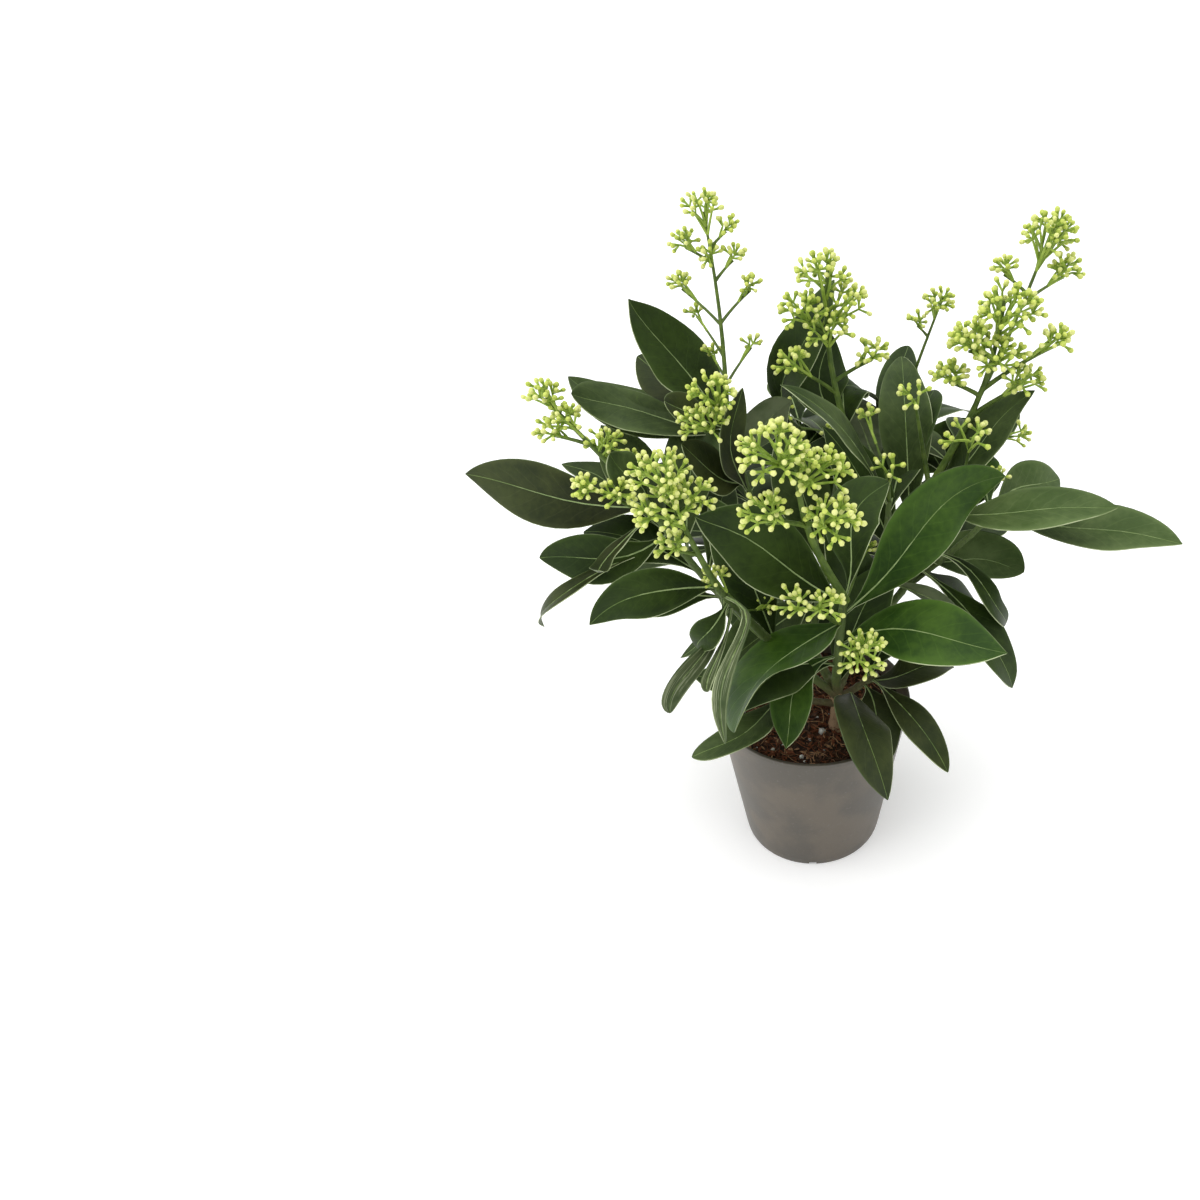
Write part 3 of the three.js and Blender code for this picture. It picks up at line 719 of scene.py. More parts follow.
print(sum(len(shoot.leaves) for shoot in SHOOTS.values()), "leaves,", sum(map(len, OLDER.values())), "older")

# %% Limbs
class Limb:
    """The axis of a limb, measured along its length."""

    def __init__(self, start, bend, top, radii):
        self.start, self.bend, self.top = (np.asarray(place, dtype=float) for place in (start, bend, top))
        self.radii = radii
        steps = np.linspace(0, 1, 121)[:, None]
        self.line = (1 - steps) ** 2 * self.start + 2 * steps * (1 - steps) * self.bend + steps**2 * self.top
        run = np.linalg.norm(np.diff(self.line, axis=0), axis=1)
        self.reach = np.concatenate([[0], np.cumsum(run)])
        self.length = self.reach[-1]

    def at(self, share):
        place = np.clip(share, 0, 1) * self.length
        return np.array([np.interp(place, self.reach, self.line[:, axis]) for axis in range(3)])

    def below_top(self, distance):
        return self.at(1 - distance / self.length)


TRUNK_FOOT, TRUNK_BEND, TRUNK_FORK = (16.0, -16.0, SOIL_LEVEL), (15.9, -14.6, 115.0), (15.0, -10.0, 127.0)
limbs = {"trunk": Limb(TRUNK_FOOT, TRUNK_BEND, TRUNK_FORK, (4.2, 3.7))}
for name, shoot in SHOOTS.items():
    limbs[name] = Limb(limbs[shoot.parent].at(shoot.at), shoot.bend, shoot.top, shoot.radii)
print("longest limb:", round(max(limb.length for limb in limbs.values())), "mm")

# %% [markdown]
# ## Trunk and boughs
# The trunk is young tan bark, and the boughs are green wood with old leaf scars. Each limb is a Bezier
# curve with a round bevel, which bends cleanly where a chain of cylinders would kink. It becomes a mesh,
# swells at its foot and at each scar, and is roughened last by a Displace modifier.

# %% Model the limbs
FOOT_REACH, FIRST_SCAR, SCAR_LENGTH, SCAR_TURN = 4.5, 7.0, 1.1, 2.4


def model_limb(name, limb, foot_swell, node_gap, node_swell):
    start_fresh()
    bpy.ops.curve.primitive_bezier_curve_add()
    curve = bpy.context.object
    first, last = curve.data.splines[0].bezier_points
    for point in (first, last):
        point.handle_left_type = point.handle_right_type = "FREE"
    first.co, last.co = limb.start * MM, limb.top * MM
    first.handle_right = (limb.start + (limb.bend - limb.start) * 2 / 3) * MM
    first.handle_left = limb.start * MM
    last.handle_left = (limb.top + (limb.bend - limb.top) * 2 / 3) * MM
    last.handle_right = limb.top * MM
    first.radius, last.radius = limb.radii
    curve.data.bevel_depth = MM
    curve.data.bevel_resolution = 4
    curve.data.resolution_u = max(12, round(limb.length / 2.2))
    curve.data.use_fill_caps = True
    bpy.ops.object.convert(target="MESH")
    piece = bpy.context.object
    points = mesh_points(piece.data) / MM
    nearest = np.argmin(((points[:, None] - limb.line[None]) ** 2).sum(-1), axis=1)
    along = limb.reach[nearest]
    centre = limb.line[nearest]
    side = points - centre
    turn = np.arctan2(side[:, 1], side[:, 0])
    swell = 1 + foot_swell * np.exp(-along / FOOT_REACH)
    for number, place in enumerate(np.arange(FIRST_SCAR, limb.length - 3, node_gap)):
        facing = 0.5 + 0.5 * np.cos(turn - number * SCAR_TURN)
        swell += node_swell * facing * np.exp(-(((along - place) / SCAR_LENGTH) ** 2))
    points = centre + side * swell[:, None]
    piece.data.vertices.foreach_set("co", (points * MM).ravel())
    piece.name = name
    return piece


BURIED, PAST_FORK = (0.1, -0.4, -2.5), (-0.4, 1.0, 3.5)
limb_pieces = [model_limb(f"limb_{name}", limbs[name], 0.35, 9.0, 0.22) for name in SHOOTS]
stub = Limb(np.add(TRUNK_FOOT, BURIED), TRUNK_BEND, np.add(TRUNK_FORK, PAST_FORK), (4.4, 3.4))
trunk_piece = model_limb("trunk_bark", stub, 0.75, 6.5, 0.16)
pick(limb_pieces[0])
for piece in limb_pieces:
    piece.select_set(True)
bpy.ops.object.join()
boughs = bpy.context.object
print("bough faces:", len(boughs.data.polygons))

# %% Roughen the limbs
def roughen(piece, name, size, depth):
    grain_texture = bpy.data.textures.new(name, "CLOUDS")
    grain_texture.noise_scale = size * MM
    displace = piece.modifiers.new(name, "DISPLACE")
    displace.texture = grain_texture
    displace.strength = depth * MM
    displace.mid_level = 0.5
    apply_modifiers(piece)
    smooth(piece, 50)


roughen(boughs, "green_wood", 3.0, 0.5)
roughen(trunk_piece, "young_bark", 2.2, 1.3)
print("limbs roughened")

# %% [markdown]
# Green wood turns brown from its foot upwards, so the boughs' colour is a blend on height, broken up by
# noise. The bark has fine lengthwise cracks, made by a noise that is squeezed sideways.

# %% Wood finishes
def wood_finish(name, old, young, low, high, dark):
    finish = Finish(name, specular_ior_level=0.35)
    place = finish.where()
    height = finish.node("ShaderNodeSeparateXYZ", {}, {0: place}, "Z")
    patchy = finish.clouds(place, 160.0, 4.0)
    squeezed = finish.node("ShaderNodeMapping", {}, {"Vector": place, "Scale": (1.0, 1.0, 0.22)})
    cracks = finish.clouds(squeezed, 900.0, 4.0)
    age = finish.step(height + (patchy - 0.5) * 0.03, low, high)
    cracked = finish.tint(finish.mix(age, old, young), dark, cracks, 0.50, 0.30, 0.55)
    finish.colour(finish.tint(cracked, (0.30, 0.29, 0.18), patchy, 0.60, 0.75, 0.35))
    finish.roughness(0.50 + cracks * 0.3)
    finish.relief(cracks, 0.25)
    return finish


green_wood = wood_finish(
    "green_stem", (0.120, 0.100, 0.045), (0.080, 0.122, 0.028), 0.118, 0.150, (0.030, 0.038, 0.012)
)
tan_bark = wood_finish(
    "young_bark", (0.300, 0.190, 0.110), (0.330, 0.230, 0.130), 0.100, 0.130, (0.090, 0.055, 0.030)
)
finish_piece(boughs, "boughs", [f"bough_{name}" for name in SHOOTS], [green_wood])
finish_piece(trunk_piece, "trunk_bark", ["trunk"], [tan_bark])

# %% [markdown]
# ## Leaves
# A leathery leaf has a dark satin upper face, a pale midrib in a shallow groove, a hair-thin pale margin and
# a dull grey-green underside. One flat blade is modelled as a grid with narrow strips for midrib and margin
# and a thin underside from Solidify. Every leaf then bends a copy of it to its own size, arch, fold and wave.

# %% Model one flat blade
BLADE_ROWS = 20
RIB_LINE, EDGE_LINE = 0.03, 0.94
HALF_COLUMNS = [RIB_LINE, 0.14, 0.38, 0.66, EDGE_LINE, 1.0]
BLADE_COLUMNS = [-column for column in reversed(HALF_COLUMNS)] + HALF_COLUMNS

start_fresh()
bpy.ops.mesh.primitive_grid_add(x_subdivisions=len(BLADE_COLUMNS) - 1, y_subdivisions=BLADE_ROWS, size=2.0)
blade_object = bpy.context.object
for target, even in zip(BLADE_COLUMNS, np.linspace(-1, 1, len(BLADE_COLUMNS))):
    for vertex in blade_object.data.vertices:
        if abs(vertex.co.x - even) < 1e-4:
            vertex.co.z = target
for vertex in blade_object.data.vertices:
    vertex.co.x, vertex.co.z = vertex.co.z, 0.0
    vertex.co.y = 1 - (1 - (vertex.co.y + 1) / 2) ** 1.5
solidify = blade_object.modifiers.new("underside", "SOLIDIFY")
solidify.thickness = 1.0
solidify.offset = -1.0
apply_modifiers(blade_object)
blade = Shape(blade_object)
print("blade:", len(blade.points), "points,", len(blade.faces), "faces, depth", np.ptp(blade.points[:, 2]))

# %% [markdown]
# The leaf's faces are sorted by where they lie on the flat blade: midrib, margin, upper face and underside
# each take their own finish, so each colour stays exactly on its strip. The margin on the edge that hangs
# lower keeps its pale rim, and the upper margin gets a darker finish, painted shade, so a leaf's two
# margins differ.

# %% Sort the blade's faces
UPPER, RIB, MARGIN, UNDER, CORD, PAINTED_SHADE_MARGIN = -1, 0, 1, 2, 3, 4
blade_kinds = []
for middle in blade.middles:
    if abs(middle[0]) > EDGE_LINE:
        blade_kinds.append(MARGIN)
    elif middle[2] < -0.5:
        blade_kinds.append(UNDER)
    elif abs(middle[0]) < RIB_LINE:
        blade_kinds.append(RIB)
    else:
        blade_kinds.append(UPPER)
print({kind: blade_kinds.count(kind) for kind in (UPPER, RIB, MARGIN, UNDER)})

# %% [markdown]
# A leaf is bent by a few rules on two numbers, how far along it a point is and how far across. The
# outline swells and narrows, the halves fold up from the midrib and curl down at the edge, and a slow wave
# runs along each margin. The midrib stands out below as a tapering cord that becomes the leaf's stalk.

# %% Bend a blade into a leaf
def outline(along, peak, tip):
    """Half width of a leaf from its base (0) to its tip (1), 1 at its widest. A low tip value is blunt."""
    power = 1.3 + (tip - 1.3) * np.clip(along / 0.9, 0, 1)
    warp = math.log(0.5) / math.log(peak)
    return np.maximum(np.sin(np.pi * np.clip(along, 0, 1) ** warp), 0) ** power


OWN_SHAPE = ("peak", "tip", "sway", "ess", "twist", "hook")
HOOK_GAIN = 6.75
FRONT_AND_DOWN = [0.0, -0.5, -0.85]


def lay_leaf(heap, foot, row, chance, tint, tints):
    """Lays the leaf of one row. What the row leaves open comes by chance."""
    _, bearing, rise, length, width, arch, roll, *own = row
    habit = dict(
        peak=chance.uniform(0.55, 0.61), tip=chance.uniform(0.74, 1.0), wide=chance.uniform(0.86, 0.96),
        fold=chance.uniform(0.14, 0.30), curl=chance.uniform(0.05, 0.16), twist=chance.gauss(0, 8),
        sway=length * chance.gauss(0, 0.018), ess=length * chance.gauss(0, 0.008),
        hook=length * chance.uniform(0, 0.035),
    )
    wave, beats, phase = chance.uniform(0.3, 1.0), chance.uniform(1.4, 2.6), chance.uniform(0, 6.28)
    if own:
        habit.update(zip(OWN_SHAPE, own), wide=1.0)
    peak, tip, wide, fold, curl, twist, sway, ess, hook = habit.values()
    ahead = aim(bearing, rise)
    level = unit([ahead[1], -ahead[0], 0.0])
    upward = np.cross(level, ahead)
    lean = math.radians(roll)
    side = level * math.cos(lean) - upward * math.sin(lean)
    face = np.cross(side, ahead)

    def spine(along):
        """Points on the midrib, and there the directions to the side and out of the upper face."""
        along = np.asarray(along)[:, None]
        raised = (4 * arch + HOOK_GAIN * hook * along) * along * (1 - along)
        line = foot + ahead * length * along + upward * raised
        line = line + side * (sway * np.sin(np.pi * along) + ess * np.sin(2 * np.pi * along))
        swing = np.pi * (sway * np.cos(np.pi * along) + 2 * ess * np.cos(2 * np.pi * along))
        climb = 4 * arch * (1 - 2 * along) + HOOK_GAIN * hook * along * (2 - 3 * along)
        forward = unit(ahead * length + upward * climb + side * swing)
        turn = math.radians(twist) * (along - 0.3)
        turned = side * np.cos(turn) - face * np.sin(turn)
        turned = unit(turned - forward * (turned * forward).sum(1, keepdims=True))
        return line, turned, np.cross(turned, forward)

    across, along, depth = blade.points.T
    stalk = 0.9 * (1 - along) ** 2 + 0.3
    half = np.maximum(wide * width / 2 * outline(along, peak, tip), stalk)
    rib = np.minimum((0.38 - 0.24 * along) / half, 0.12)
    edge = np.minimum((0.50 - 0.10 * along) / half, 0.24)
    spread = np.abs(across)
    spread = np.where(np.isclose(spread, RIB_LINE), rib, spread)
    spread = np.where(np.isclose(spread, EDGE_LINE), 1 - edge, spread)
    lift = half * (fold * (np.sqrt(spread**2 + 0.02) - 0.141) - curl * spread**4)
    ripple = np.sin(beats * 2 * np.pi * along + phase + (across > 0) * 1.9) * wave * spread**2
    groove = -0.35 * np.exp(-((spread * half / 0.8) ** 2)) * (1 - along)
    thick = (0.50 - 0.24 * spread**2) * np.minimum(1.0, half / 1.2)
    line, turned, outward = spine(along)
    points = line + turned * (np.sign(across) * spread * half)[:, None]
    points = points + outward * (lift + ripple * np.minimum(half / 6, 1) + groove + depth * thick)[:, None]
    hanging = side @ FRONT_AND_DOWN
    kinds = []
    for kind, middle in zip(blade_kinds, blade.middles):
        # The margin on the upper edge takes the darker finish: painted shade.
        if kind == MARGIN and middle[0] * hanging < 0:
            kind = PAINTED_SHADE_MARGIN
        kinds.append(tint if kind == UPPER else tints + kind)
    heap.lay(points, blade.faces, kinds, np.column_stack([(across + 1) / 2, along]))

    cord = np.linspace(-0.012, 0.9, 9)
    line, _, outward = spine(cord)
    rib_radius = np.interp(cord, [0, 0.06, 0.9], [1.15, 0.85, 0.16])
    lay_tube(heap, line - outward * (rib_radius * 0.75 + 0.1)[:, None], rib_radius, 6, tints + CORD)


print("leaf rule ready")

# %% [markdown]
# The leaf's upper face is a satin green with slow cloudy changes, faint side veins that run out and
# forward from the midrib, and a fine pebbled grain. The veins are drawn in the leaf's own coordinates, so
# they follow it however it bends. Painted shade darkens the green towards the leaf's base, a painted sheen
# lightens its outer part, and it is paler towards the edges.

# %% Leaf finishes
# A painted sheen colour, and a pale colour for the streaks.
PAINTED_SHEEN, STREAK = (0.090, 0.130, 0.066), (0.26, 0.29, 0.17)


def upper_finish(name, deep, light, rough, streaks=0.0):
    finish = Finish(name, specular_ior_level=0.10)
    place = finish.where()
    own = finish.node("ShaderNodeUVMap", {"uv_map": "blade"}, {})
    across = finish.node("ShaderNodeSeparateXYZ", {}, {0: own}, "X")
    along = finish.node("ShaderNodeSeparateXYZ", {}, {0: own}, "Y")
    aside = finish.node("ShaderNodeMath", {"operation": "ABSOLUTE"}, {0: across - 0.5})
    cloudy = finish.clouds(place, 38.0)
    mottled = finish.clouds(place, 260.0)
    pebbled = finish.clouds(place, 1500.0, 2.0)
    beat = (along * 10.0 - aside * 4.2 + cloudy * 1.2) * 6.283
    wave = finish.node("ShaderNodeMath", {"operation": "SINE"}, {0: beat})
    vein = finish.step(wave, 0.90, 1.0) * finish.step(aside, 0.49, 0.30)
    green = finish.tint(deep, light, cloudy * 0.7 + mottled * 0.3, 0.34, 0.72)
    if streaks:
        flow = finish.node("ShaderNodeCombineXYZ", {}, {0: across * 16.0, 1: along * 1.6, 2: cloudy * 3.0})
        green = finish.tint(green, STREAK, finish.clouds(flow, 1.0, 2.0), 0.52, 0.66, streaks)
    # Painted shade: the green darkens towards the leaf's base, where the leaves above would shade it.
    painted_base_shade = tuple(channel * 0.35 for channel in deep)
    paler = tuple(channel * 1.5 + 0.01 for channel in light)
    green = finish.tint(green, painted_base_shade, along, 0.65, 0.0, 0.5)
    # Painted sheen: the outer part of the leaf is lightened towards a grey-green, as its gloss would look in
    # the light.
    green = finish.tint(green, PAINTED_SHEEN, along, 0.25, 0.85, 0.14)
    green = finish.tint(green, paler, aside, 0.36, 0.50, 0.45)
    finish.colour(finish.mix(vein * 0.12, green, paler))
    finish.roughness(rough + mottled * 0.14)
    finish.relief(pebbled * 0.25 + mottled * 0.45 - vein * 0.35, 0.16)
    return finish


def plain_finish(name, deep, light, scale, rough, depth):
    finish = Finish(name, specular_ior_level=0.3)
    place = finish.where()
    cloudy = finish.clouds(place, scale)
    finish.colour(finish.tint(deep, light, cloudy, 0.36, 0.64))
    finish.roughness(rough + cloudy * 0.12)
    finish.relief(finish.clouds(place, scale * 6, 2.0), depth)
    return finish


TINT_LETTERS = "fdgbpl"
TINT_FINISHES = [
    upper_finish("leaf_fresh_green", (0.014, 0.042, 0.003), (0.048, 0.103, 0.009), 0.38),
    upper_finish("leaf_deep_green", (0.009, 0.021, 0.001), (0.029, 0.055, 0.005), 0.40),
    upper_finish("leaf_grey_green", (0.022, 0.040, 0.008), (0.063, 0.095, 0.025), 0.40),
    upper_finish("leaf_bronze_green", (0.013, 0.019, 0.003), (0.038, 0.048, 0.010), 0.40),
    upper_finish("leaf_pale_green", (0.030, 0.050, 0.014), (0.085, 0.108, 0.045), 0.48, 0.8),
    # Light green, part the leaf's own colour and part painted sheen, for the leaves at the far right.
    upper_finish("leaf_light_green_and_sheen", (0.045, 0.080, 0.017), (0.095, 0.140, 0.044), 0.42),
]
TRIM_FINISHES = [
    plain_finish("leaf_rib", (0.065, 0.115, 0.022), (0.140, 0.210, 0.052), 60.0, 0.45, 0.02),
    plain_finish("leaf_margin", (0.160, 0.210, 0.080), (0.440, 0.500, 0.290), 45.0, 0.5, 0.02),
    plain_finish("leaf_under", (0.075, 0.105, 0.040), (0.120, 0.150, 0.072), 90.0, 0.55, 0.08),
    plain_finish("leaf_cord", (0.18, 0.26, 0.09), (0.26, 0.34, 0.14), 200.0, 0.5, 0.02),
    # Painted shade for the upper margin: the same pale margin, darker.
    plain_finish("leaf_margin_painted_shade", (0.030, 0.058, 0.012), (0.110, 0.150, 0.055), 45.0, 0.5, 0.02),
]
LEAF_FINISHES = TINT_FINISHES + TRIM_FINISHES
print(len(LEAF_FINISHES), "leaf finishes")

# %% [markdown]
# Tints are dealt out leaf by leaf: fresh, deep, grey, bronze, pale or light green. The front leaves are
# young and fresh, those on the left go from grey to bronze, the hanging ones are pale, those at the far
# right are a light green that is part their own colour and part painted sheen, and the inner and rear ones
# are deep green.

# %% Grow the leaves
LEAF_PIECES = {
    "foliage_front": ["front", "left_front", "low_left", "low_right"],
    "foliage_left": ["left", "back_left"],
    "foliage_right": ["right_back", "middle", "right", "far_right"],
    "foliage_rear": ["centre_back", "rear_left", "rear_mid", "rear_right", "rear_low_left", "rear_low_right"],
}
TINTS = {
    "front": "ddffffd", "left_front": "dpppgd", "low_left": "gg", "low_right": "bbbbd",
    "left": "gbgbdbd", "back_left": "bdbggbbd", "centre_back": "ddgd", "right_back": "gdgdfd", "middle": "gd",
    "right": "llddd", "far_right": "lllfd", "rear_mid": "g",
}
for piece_name, shoot_names in LEAF_PIECES.items():
    heap = Heap()
    for shoot_name in shoot_names:
        rows = SHOOTS[shoot_name].leaves + OLDER.get(shoot_name, [])
        for number, row in enumerate(rows):
            chance = random.Random(f"{shoot_name} leaf {number}")
            letters = TINTS.get(shoot_name, "")
            letter = letters[number] if number < len(letters) else chance.choice("dddg")
            foot = limbs[shoot_name].below_top(row[0])
            lay_leaf(heap, foot, row, chance, TINT_LETTERS.index(letter), len(TINT_FINISHES))
    piece = heap.piece(piece_name, 35.0)
    finish_piece(piece, piece_name, [f"leaves_{name}" for name in shoot_names], LEAF_FINISHES)

# %% [markdown]
# ## Flower heads
# A head is a green stalk with side sprays, each ending in a few closed buds on slim stalks of their own.
# The table gives each head's stalk and the clusters that its sprays fill: height up the stalk, bearing and
# distance from it, radius and half height. Within a cluster the sprays are spread by a rule, so the head
# stays airy and no two are alike. After the clusters may come the stalk's thickness, its bow (bearing and
# bulge), the share of ripe buds, and the length of a bud's own stalk in bud sizes. The clusters of a few
# heads were first placed with a separate projection program, and then moved by hand.

# %% Flower heads
HEAD_FIELDS = "shoot below bearing rise length bud count clusters stem bow ripe pedicel"
Head = namedtuple("Head", HEAD_FIELDS, defaults=(None, (0, 0), 0.45, 1.25))
BLOOMS = {
    "front": Head("front", 0, -127, 70, 124, 3, 225, [
        (116, -166, 13, 20, 18), (102, -15, 8, 17, 13), (85, -140, 30, 15, 13), (81, -67, 22, 17, 14),
    ], bow=(180, 9), ripe=0.8, pedicel=1.5),
    "front_low": Head("front", 20, -117, 45, 56, 3, 40, [
        (54, 172, 8, 13, 9), (54, -8, 9, 13, 9),
    ], ripe=0.8, pedicel=1.6),
    "front_low_right": Head("front", 40, -68, 34, 44, 2.9, 58, [
        (44, 0, 0, 16, 15), (30, -70, 8, 14, 14),
    ], ripe=0.8, pedicel=1.9),
    "front_inner": Head("front", 5, 57, 50, 34, 2.4, 18, [(34, 0, 0, 8, 10)]),
    "left_front": Head("left_front", 0, -152, 71, 84, 2.9, 150, [
        (79, 0, 0, 17, 14), (66, 10, 12, 12, 10), (61, -125, 8, 18, 13), (36, -150, 11, 11, 8),
    ], ripe=0.75, pedicel=1.4),
    "left_front_low": Head("left_front", 25, -80, 45, 20, 2.7, 34, [
        (34, 127, 27, 10, 7), (-10, 33, 17, 6, 9),
    ]),
    "left": Head("left", 0, 159, 43, 82, 3.1, 120, [
        (80, 0, 0, 12, 11), (63, 0, 0, 13, 11), (56, -165, 12, 12, 6), (44, 20, 8, 13, 8),
        (28, 35, 13, 9, 6),
    ]),
    "left_low": Head("left", 10, -137, 41, 52, 2.9, 64, [(50, 180, 4, 9, 8), (42, 0, 8, 11, 9)]),
    "back_left": Head("back_left", 0, 105, 69, 122, 2.9, 145, [
        (120, 0, 0, 13, 11), (110, 0, 12, 9, 6), (102, 180, 12, 10, 8), (95, 0, 1, 8, 7),
        (94, 10, 14, 8, 6), (77, 16, 22, 8, 8), (76, 148, 22, 9, 7), (42, 36, 22, 6, 5),
        (38, 119, 11, 7, 5), (58, 126, 22, 7, 5),
    ], stem=1.6, bow=(0, 3)),
    "back_left_low": Head("back_left", 30, -116, 67, 70, 2.9, 100, [
        (68, 0, 0, 15, 10), (50, -130, 14, 16, 11),
    ]),
    "centre_back": Head("centre_back", 0, 146, 82, 100, 3.2, 185, [
        (90, 170, 5, 17, 15), (74, -10, 9, 15, 14), (72, -162, 19, 15, 12), (62, -120, 8, 16, 10),
        (46, -148, 30, 13, 9), (46, -10, 20, 13, 8),
    ], bow=(180, 6)),
    "right_back": Head("right_back", 0, 10, 74, 118, 3.4, 270, [
        (109, -15, 5, 20, 16), (92, -152, 13, 15, 14), (91, -2, 38, 11, 8), (84, -38, 10, 17, 11),
        (67, -5, 29, 15, 8), (70, -168, 15, 12, 9),
    ], bow=(0, 7)),
    "right_back_low": Head("right_back", 6, -130, 71, 74, 3.2, 13, [(73, 0, 0, 11, 7)]),
    "middle": Head("middle", 0, -100, 64, 32, 3.2, 19, [(31, 0, 0, 12, 11), (50, 103, 43, 7, 7)]),
    "right": Head("right", 0, -40, 82, 50, 3.3, 22, [(49, 0, 0, 18, 8)]),
    "right_low": Head("right", 2, 6, 40, 27, 2.9, 9, [(32, -44, 1, 7, 8)]),
    "rear_right": Head("right_back", 2, 38, 60, 169, 3.2, 125, [
        (155, 43, 3, 17, 16), (134, 10, 21, 12, 10), (136, 175, 16, 9, 9),
    ], stem=1.8, bow=(-20, 4)),
    "far_right": Head("rear_right", 8, 6, 8, 38, 3, 16, [(37, 0, 0, 13, 9)]),
    "rear_mid": Head("rear_mid", 0, 4, 74, 115, 3, 52, [
        (107, -175, 2, 12, 11), (96, -160, 12, 9, 7),
    ], stem=1.6),
    "rear_left": Head("rear_left", 2, -108, 42, 38, 2.7, 22, [(37, 0, 0, 8, 9), (16, -32, 27, 7, 5)]),
}
print(len(BLOOMS), "flower heads")

# %% [markdown]
# One bud is a small ball drawn out to a teardrop: its lower rings are pulled in towards the stalk. It is
# laid well over a thousand times, so it has only a few dozen faces.

# %% Model one bud
start_fresh()
bpy.ops.mesh.primitive_uv_sphere_add(segments=7, ring_count=6, radius=0.5)
bud_object = bpy.context.object
bpy.ops.object.mode_set(mode="EDIT")
for ring_height, squeeze in [(-0.43, 0.80), (-0.25, 0.58), (0.0, 0.84), (0.25, 1.10)]:
    bpy.ops.mesh.select_all(action="DESELECT")
    bpy.ops.object.mode_set(mode="OBJECT")
    for vertex in bud_object.data.vertices:
        vertex.select = abs(vertex.co.z - ring_height) < 0.02
    bpy.ops.object.mode_set(mode="EDIT")
    bpy.ops.transform.resize(value=(squeeze, squeeze, 1.0))
bpy.ops.mesh.select_all(action="SELECT")
bpy.ops.transform.resize(value=(1.0, 1.0, 1.55))
bpy.ops.object.mode_set(mode="OBJECT")
bud = Shape(bud_object)
bud_kinds = [0 if middle[2] > 0.12 else 1 if middle[2] > -0.22 else 2 for middle in bud.middles]
print("bud:", len(bud.faces), "faces, height", round(float(np.ptp(bud.points[:, 2])), 2))

# %% Bud and stalk finishes
BUD_FINISHES = [
    plain_finish("bud_cream", (0.60, 0.66, 0.18), (0.76, 0.79, 0.30), 260.0, 0.42, 0.03),
    plain_finish("bud_lime", (0.44, 0.54, 0.085), (0.62, 0.69, 0.15), 260.0, 0.42, 0.03),
    plain_finish("bud_cup", (0.22, 0.34, 0.04), (0.33, 0.45, 0.065), 260.0, 0.48, 0.03),
]
STALK_FINISHES = [
    plain_finish("stalk_lime", (0.20, 0.31, 0.038), (0.34, 0.46, 0.075), 200.0, 0.48, 0.04),
    plain_finish("stalk_green", (0.060, 0.105, 0.013), (0.110, 0.170, 0.026), 150.0, 0.48, 0.06),
]
print("bud finishes ready")

# %% [markdown]
# Each spray leaves the main stalk low and curves up and out to its own spot in the cluster, and its buds
# fan out from there. A bud that would come too close to another one is left out, so the buds crowd together
# but don't merge.

# %% Grow the flower heads
GOLDEN_ANGLE = 2.39996
BUDS_IN_SPRAY = 4.1
NEAR_STALK = 9


def stem_path(start, end, sag, steps):
    """A gently curved path that leaves start upwards and bends to end."""
    share = np.linspace(0, 1, steps)[:, None]
    bend = (np.asarray(start) + end) / 2 + np.array([0, 0, sag])
    return (1 - share) ** 2 * start + 2 * share * (1 - share) * bend + share**2 * end


def lay_bud(heap, place, ahead, size, tint):
    ahead = unit(ahead)
    first = unit(np.cross(ahead, [0.3, 0.9, 0.2]))
    second = np.cross(ahead, first)
    turned = bud.points @ np.array([first, second, ahead])
    heap.lay(place + turned * size, bud.faces, [min(tint + kind, 2) for kind in bud_kinds])


def spread_ways(count, lowest, chance):
    """Directions spread evenly over a ball, down to a lowest height."""
    ways = []
    for number in range(count):
        height = 1 - (1 - lowest) * (number + 0.5) / count
        turn = number * GOLDEN_ANGLE + chance.uniform(-0.35, 0.35)
        flat = math.sqrt(max(0.0, 1 - height**2))
        ways.append(np.array([flat * math.cos(turn), flat * math.sin(turn), height]))
    return ways


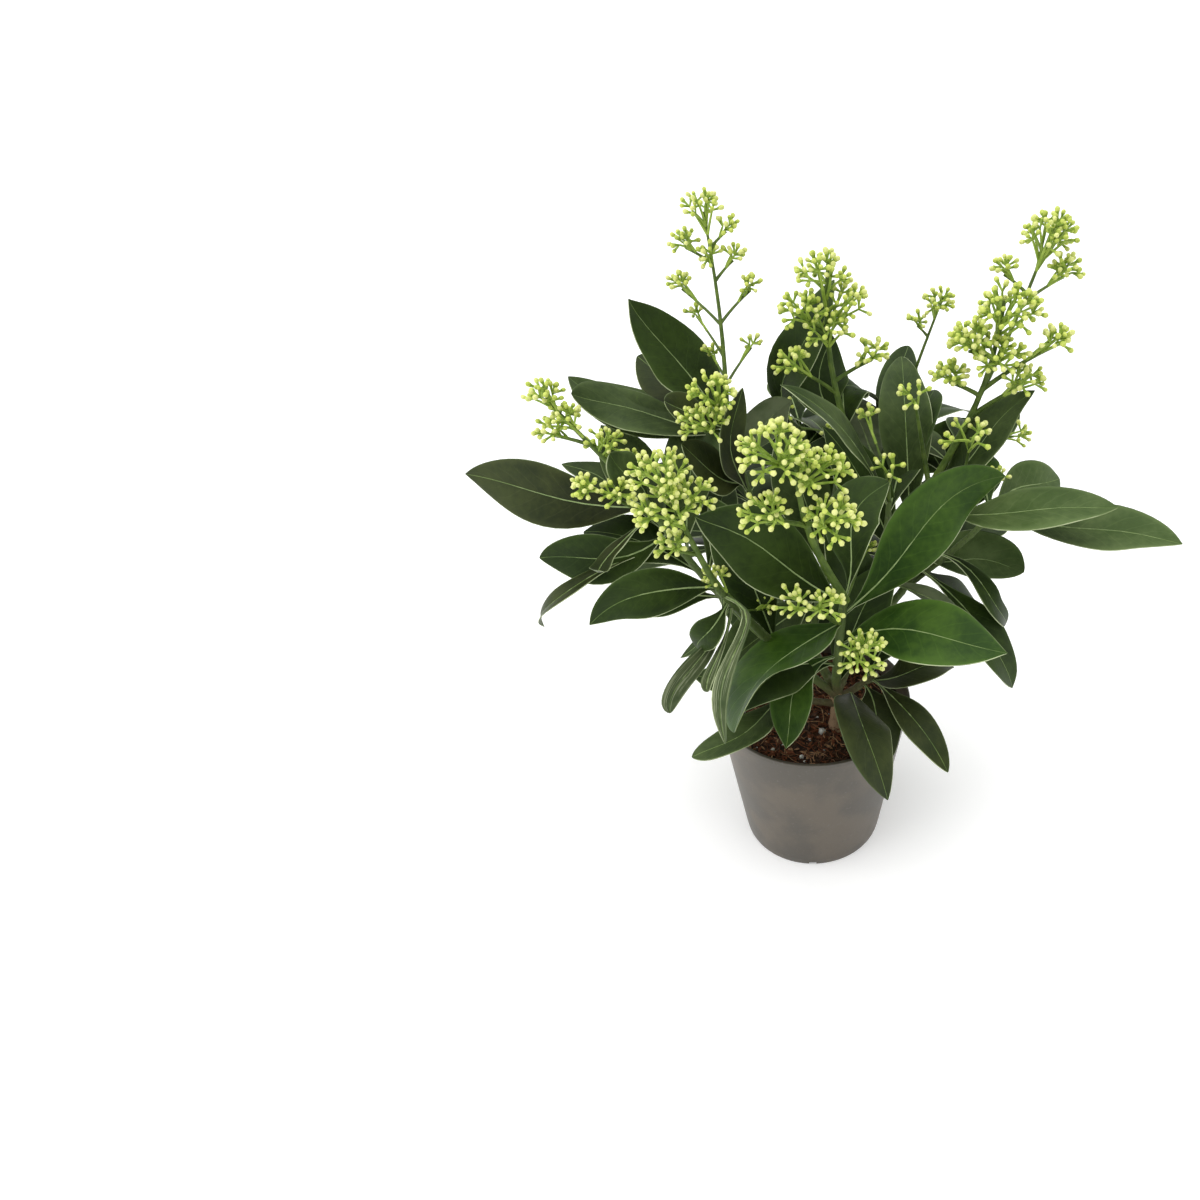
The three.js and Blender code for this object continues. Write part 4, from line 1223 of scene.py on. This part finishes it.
def grow_cluster(stalks, buds, taken, bloom, middle, radius, half, hub, wanted, chance):
    """Fills one cluster with sprays from points on a hub line, for about this many buds."""
    size, stem = bloom.bud, bloom.bud * bloom.pedicel
    for way in spread_ways(max(2, round(wanted / BUDS_IN_SPRAY)), -0.45, chance):
        pull = max(1 - (stem + size * 0.9) / radius, 0.22) * chance.uniform(0.78, 1.10)
        knot = middle + way * pull * np.array([radius, radius, half])
        root = hub[min(len(hub) - 1, max(0, int(chance.gauss(0.35, 0.2) * len(hub))))]
        lay_tube(stalks, stem_path(root, knot, 1.0, 4), np.array([0.30, 0.27, 0.24, 0.20]) * size, 5, 0)
        outward = unit(knot - root + 1e-6) * 0.7 + way * 0.6
        outward[2] += 0.25
        first = unit(np.cross(outward, [0.2, 0.5, 0.8]))
        outward = unit(outward)
        second = np.cross(outward, first)
        for fan_way in spread_ways(chance.choice([3, 4, 5, 6]), -0.1, chance):
            ahead = unit(first * fan_way[0] + second * fan_way[1] + outward * (fan_way[2] + 0.35))
            long = stem * chance.uniform(0.75, 1.2)
            here = size * chance.uniform(0.84, 1.12)
            place = knot + ahead * (long + here * 0.5)
            if any(np.linalg.norm(place - other) < 0.92 * size for other in taken):
                continue
            taken.append(place)
            lay_tube(stalks, [knot, knot + ahead * (long + 0.1 * size)], [0.17 * size, 0.26 * size], 5, 0)
            lay_bud(buds, place, ahead, here, 0 if chance.random() < bloom.ripe else 1)


def grow_bloom(name, bloom, stalks, buds):
    chance = random.Random(f"bloom {name}")
    foot = limbs[bloom.shoot].below_top(bloom.below)
    ahead = aim(bloom.bearing, bloom.rise)
    length = bloom.length
    thick = bloom.stem or 1.0 + length * 0.0125
    lean, bulge = bloom.bow
    sway = np.array([chance.gauss(0, 0.84), chance.gauss(0, 0.84), 0.0]) + aim(lean, 0) * bulge

    def up(height):
        """The point this far up the stalk, its bow included."""
        return foot + ahead * height + sway * math.sin(height / length * math.pi)

    path = np.array([up(height) for height in np.linspace(-3, length * 0.97, 8)])
    lay_tube(stalks, path, np.linspace(thick, thick * 0.45, 8), 8, 1)
    taken = []
    total_area = sum(radius * (radius + half) for *_, radius, half in bloom.clusters)
    for height, bearing, out, radius, half in bloom.clusters:
        middle = foot + ahead * height + aim(bearing, 0) * out
        if out <= NEAR_STALK:
            low, high = max(height - half * 1.25, 2), min(height + half * 0.4, length * 0.96)
            hub = [up(h) for h in np.linspace(low, high, 6)]
        else:
            start = up(max(height - 0.75 * out - 2, 3))
            end = middle - np.array([0, 0, half * 0.35])
            arm = stem_path(start, end, 0.10 * out, 6)
            lay_tube(stalks, arm, np.linspace(thick * 0.62, thick * 0.38, 6), 6, 1)
            hub = list(arm[3:])
        wanted = bloom.count * radius * (radius + half) / total_area
        grow_cluster(stalks, buds, taken, bloom, middle, radius, half, hub, wanted, chance)
    print(f"{name}: {len(taken)} of {bloom.count} buds")
    return len(taken)


stalks, buds = Heap(), Heap()
total = sum(grow_bloom(name, bloom, stalks, buds) for name, bloom in BLOOMS.items())
bloom_nodes = [f"bloom_{name}" for name in BLOOMS]
finish_piece(stalks.piece("flower_stalks", 60.0), "flower_stalks", bloom_nodes, STALK_FINISHES)
finish_piece(buds.piece("flower_buds", 70.0), "flower_buds", bloom_nodes, BUD_FINISHES)
print(total, "buds")
